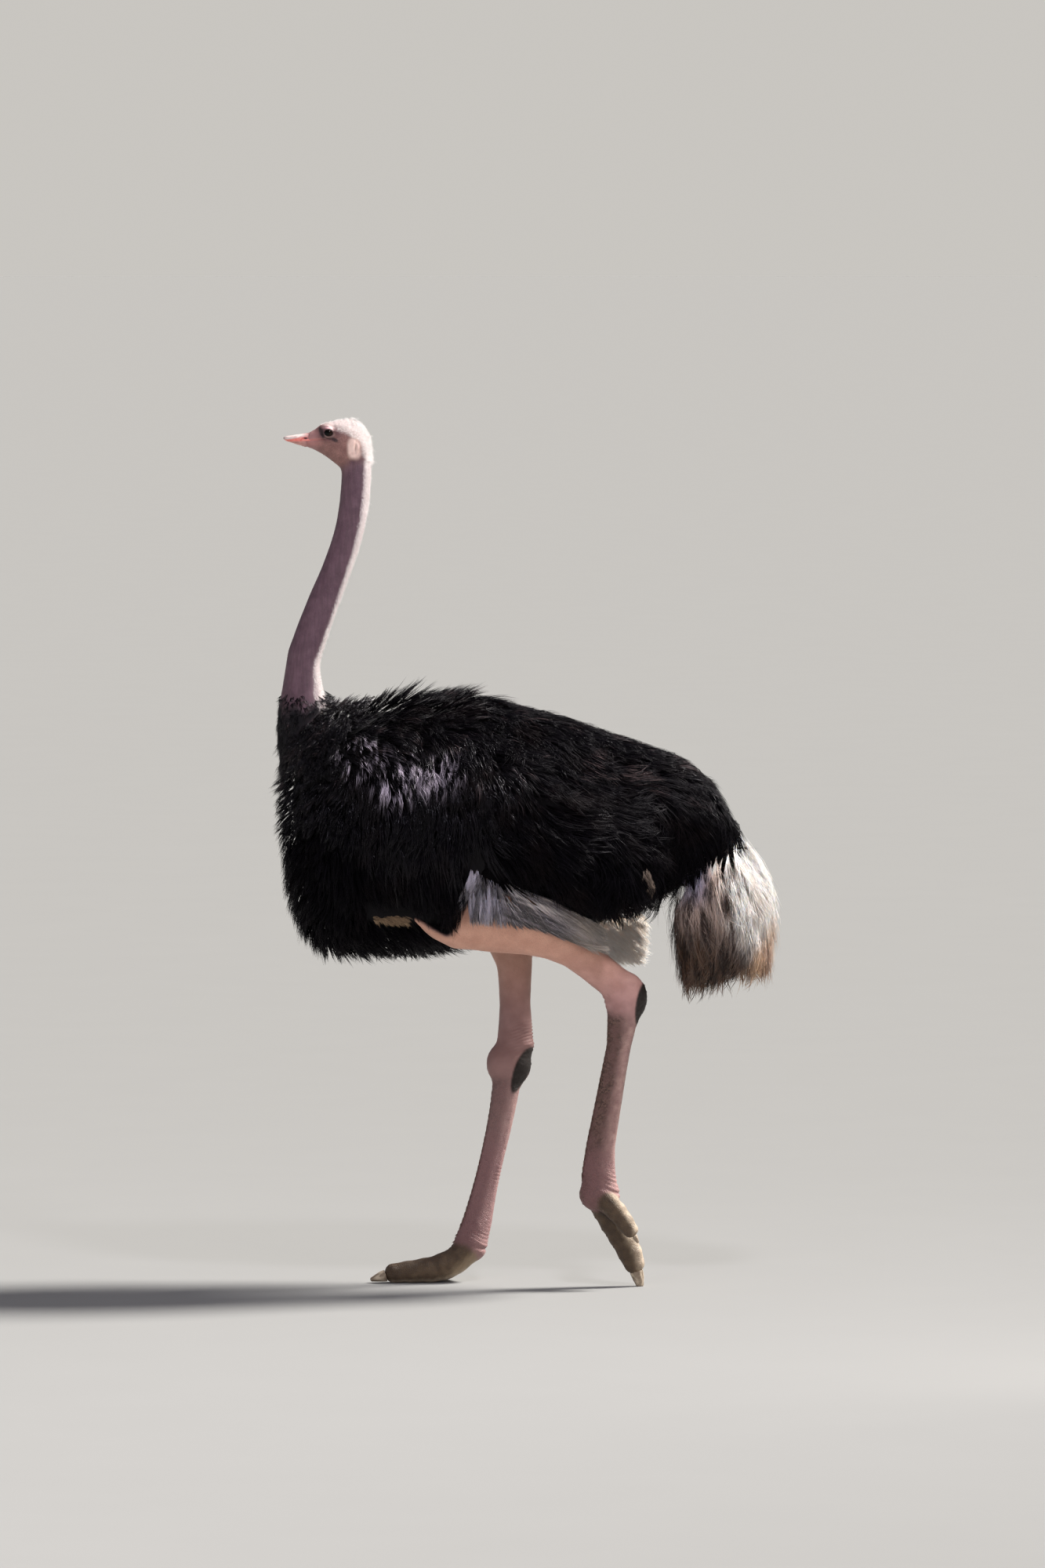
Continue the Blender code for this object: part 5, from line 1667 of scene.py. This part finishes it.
def bill_material():
    """Pale along the ridge, red along the upper cutting edge, dull pink below, with the nostril's opening
    painted dark as shade.
    """
    paint = Finish("bill_horn")
    along, up = paint.axis("X"), paint.axis("Z")
    above = up - ((along - BILL_TIP[0]) * MOUTH_SLOPE + BILL_TIP[2])
    red = mix(paint.mottle(160, 3.0), (0.80, 0.175, 0.145), (0.92, 0.36, 0.31))
    pale = mix(paint.mottle(120, 3.0), (0.60, 0.44, 0.42), (0.80, 0.69, 0.66))
    lower = mix(paint.mottle(120, 3.0), (0.50, 0.220, 0.195), (0.66, 0.340, 0.300))
    ridge = along.ease(BILL_TIP[0] + 0.004, BILL_ROOT_X, 0.0030, 0.0095)
    colour = mix((above - ridge).ease(-0.0008, 0.0032), red, pale)
    colour = mix(above.ease(-0.0006, -0.0020), colour, lower)
    skinlike = above.ease(0.0035, 0.0065).or_more(above.ease(-0.0010, -0.0030))
    skinlike = skinlike * along.ease(BILL_ROOT_X - 0.024, BILL_ROOT_X - 0.003)
    colour = mix(skinlike * 0.95, colour, (0.38, 0.195, 0.190))
    # The nostril is a long oval, so its length counts for less than its height.
    squeeze = 0.42
    place = paint.add("ShaderNodeCombineXYZ", 0, X=along * squeeze, Z=up)
    nostril = paint.away_from(((BILL_ROOT_X - 0.010) * squeeze, 0.0, BILL_TIP[2] + 0.0082), place)
    colour = mix(nostril.ease(0.0042, 0.0028, 0.0, 0.6), colour, (0.50, 0.10, 0.10))
    # Painted shade in the nostril's opening.
    colour = mix(nostril.ease(0.0026, 0.0014), colour, (0.05, 0.012, 0.014))
    return paint.done(Base_Color=colour, Roughness=0.38,
                      Normal=paint.bump(paint.streaks((60.0, 500.0, 500.0)), 0.25, 0.0006))


def claw_material():
    paint = Finish("claw_horn")
    grain = paint.streaks((60.0, 300.0, 60.0), 4.0)
    return paint.done(Base_Color=mix(grain.ease(0.35, 0.7), (0.24, 0.18, 0.13), (0.60, 0.50, 0.38)),
                      Roughness=0.45, Normal=paint.bump(grain, 0.3, 0.001))


def scute_material():
    paint = Finish("scutes")
    return paint.done(Base_Color=mix(paint.mottle(90, 4.0), (0.110, 0.062, 0.046), (0.230, 0.145, 0.110)),
                      Roughness=0.5, Normal=paint.bump(paint.noise(300.0, 4.0), 0.35, 0.0008))


def lash_material():
    paint = Finish("lashes")
    return paint.done(Base_Color=mix(paint.noise(200.0), (0.010, 0.007, 0.006), (0.022, 0.014, 0.012)),
                      Roughness=0.4)


def eye_material():
    """A near-black pupil in a dark brown iris, by the angle from the line of sight."""
    paint = Finish("eye")
    gaze = paint.mask("gaze")
    iris = mix(paint.noise(700.0), (0.008, 0.0035, 0.002), (0.022, 0.010, 0.005))
    colour = mix(gaze.ease(0.40, 0.46), (0.0015, 0.0015, 0.0015), iris)
    colour = mix(gaze.ease(0.72, 0.84), colour, (0.008, 0.005, 0.005))
    return paint.done(Base_Color=colour, Roughness=0.18, Specular_IOR_Level=0.05, Coat_Weight=0.22,
                      Coat_Roughness=0.02)


# ---------------------------------------------------------------- floor, lights and camera
def build_floor():
    shape = bmesh.new()
    bmesh.ops.create_circle(shape, cap_ends=True, segments=128, radius=400.0)
    mesh = bpy.data.meshes.new("floor")
    shape.to_mesh(mesh)
    shape.free()
    paint = Finish("floor")
    grey = mix(paint.noise(3.0), (0.285, 0.285, 0.282), (0.293, 0.293, 0.290))
    mesh.materials.append(paint.done(Base_Color=grey, Roughness=1.0, Specular_IOR_Level=0.0))
    object_from("floor", mesh)


def area_light(name, place, target, size, power, colour):
    light = bpy.data.lights.new(name, "AREA")
    light.shape = "DISK"
    light.size = size
    light.energy = power
    light.color = colour
    lamp = object_from(name, light)
    lamp.location = place
    lamp.rotation_euler = (Vector(target) - Vector(place)).to_track_quat("-Z", "Y").to_euler()
    return lamp


def build_lights():
    """A soft sun from high behind the bird's far side, a sky whose horizon has the floor's colour, a broad
    fill and a low bounce from the near side, and a small lamp above."""
    bpy.context.scene.view_settings.view_transform = "Standard"
    world = bpy.data.worlds.new("soft_room")
    bpy.context.scene.world = world
    world.use_nodes = True
    paint = Paint(world.node_tree)
    height = paint.add("ShaderNodeSeparateXYZ", "Z", Vector=paint.add("ShaderNodeTexCoord", "Generated"))
    sky = mix(abs(height).ease(0.03, 0.12), (0.582, 0.562, 0.530), (0.17, 0.165, 0.185))
    fill(world.node_tree.nodes["Background"].inputs["Color"], sky)
    sun = bpy.data.lights.new("sun", "SUN")
    sun.energy = 8.2
    sun.angle = math.radians(14)
    sun.color = (1.0, 0.965, 0.91)
    lamp = object_from("sun", sun)
    lamp.rotation_euler = Vector((-0.76, -0.27, -0.80)).to_track_quat("-Z", "Y").to_euler()
    broad = area_light("fill", (-3.0, -7.0, 3.0), (0.0, 0.0, 1.2), 3.0, 76.0, (0.98, 0.95, 0.99))
    bounce = area_light("bounce", (1.8, -2.2, 0.90), (0.15, 0.0, 0.80), 0.8, 6.0, (1.0, 0.93, 0.86))
    # These two leave no bright disc in the eye and no haze on the black plumage.
    broad.visible_glossy = bounce.visible_glossy = False
    area_light("top", (0.9, -2.6, 4.4), (-0.1, -0.1, 1.3), 0.6, 60.0, (0.96, 0.94, 1.0))


def build_camera():
    """A long lens from the bird's left, a little above its back."""
    distance, elevation, across = 25.0, math.radians(3.5), 4.0
    target = Vector((-0.007, 0.0, 1.28))
    camera = bpy.data.cameras.new("camera")
    camera.sensor_width = 36.0
    camera.lens = camera.sensor_width * distance / across
    camera.clip_end = 300.0
    viewer = object_from("camera", camera)
    viewer.location = target + Vector((0.0, -math.cos(elevation), math.sin(elevation))) * distance
    viewer.rotation_euler = (math.pi / 2 - elevation, 0.0, 0.0)
    bpy.context.scene.camera = viewer


build_camera()
build_floor()
build_lights()
skin = build_skin()
black = black_feather_material("black_plumage", smoothest=0.28, roughest=0.55, gloss=0.08, shines=False)
glossy = black_feather_material("glossy_plumage", smoothest=0.17, roughest=0.42, gloss=0.34, shines=True)
build_body_plumage(black, glossy)
build_collar(glossy)
build_tail(white_feather_material())
silky = pale_feather_material()
build_primaries(silky, fluff_material())
tufts = np.random.default_rng(17)
thigh_tuft(tufts, down_material("tawny_down", (0.07, 0.040, 0.022), (0.50, 0.34, 0.21)))
vent_tuft(tufts, down_material("umber_down", (0.045, 0.032, 0.027), (0.24, 0.175, 0.140)))
strand_tip(tufts, silky)
build_down(skin, down_material("white_down", (0.84, 0.77, 0.76), (1.0, 0.98, 0.97)),
           down_material("bristles", (0.15, 0.090, 0.105), (0.40, 0.29, 0.31)))
bill = bill_material()
horn_piece("bill_upper", "upper_bill", bill, "bill_horn", voxel=0.0011, growth=0.0007, shape=under_skin)
horn_piece("bill_lower", "lower_bill", bill, "bill_horn", voxel=0.0011, growth=0.0004, shape=deep_jaw)
eye = eye_material()
for side, sign in SIDES:
    build_eye(side, sign, eye)
build_lashes(lash_material())
build_scutes(skin, scute_material())
claw = claw_material()
for side, _ in SIDES:
    for toe in ("inner", "outer"):
        horn_piece(f"{toe}_nail_{side}", f"{toe}_claw_{side}", claw, "claw_horn", voxel=0.0014, growth=0.0)
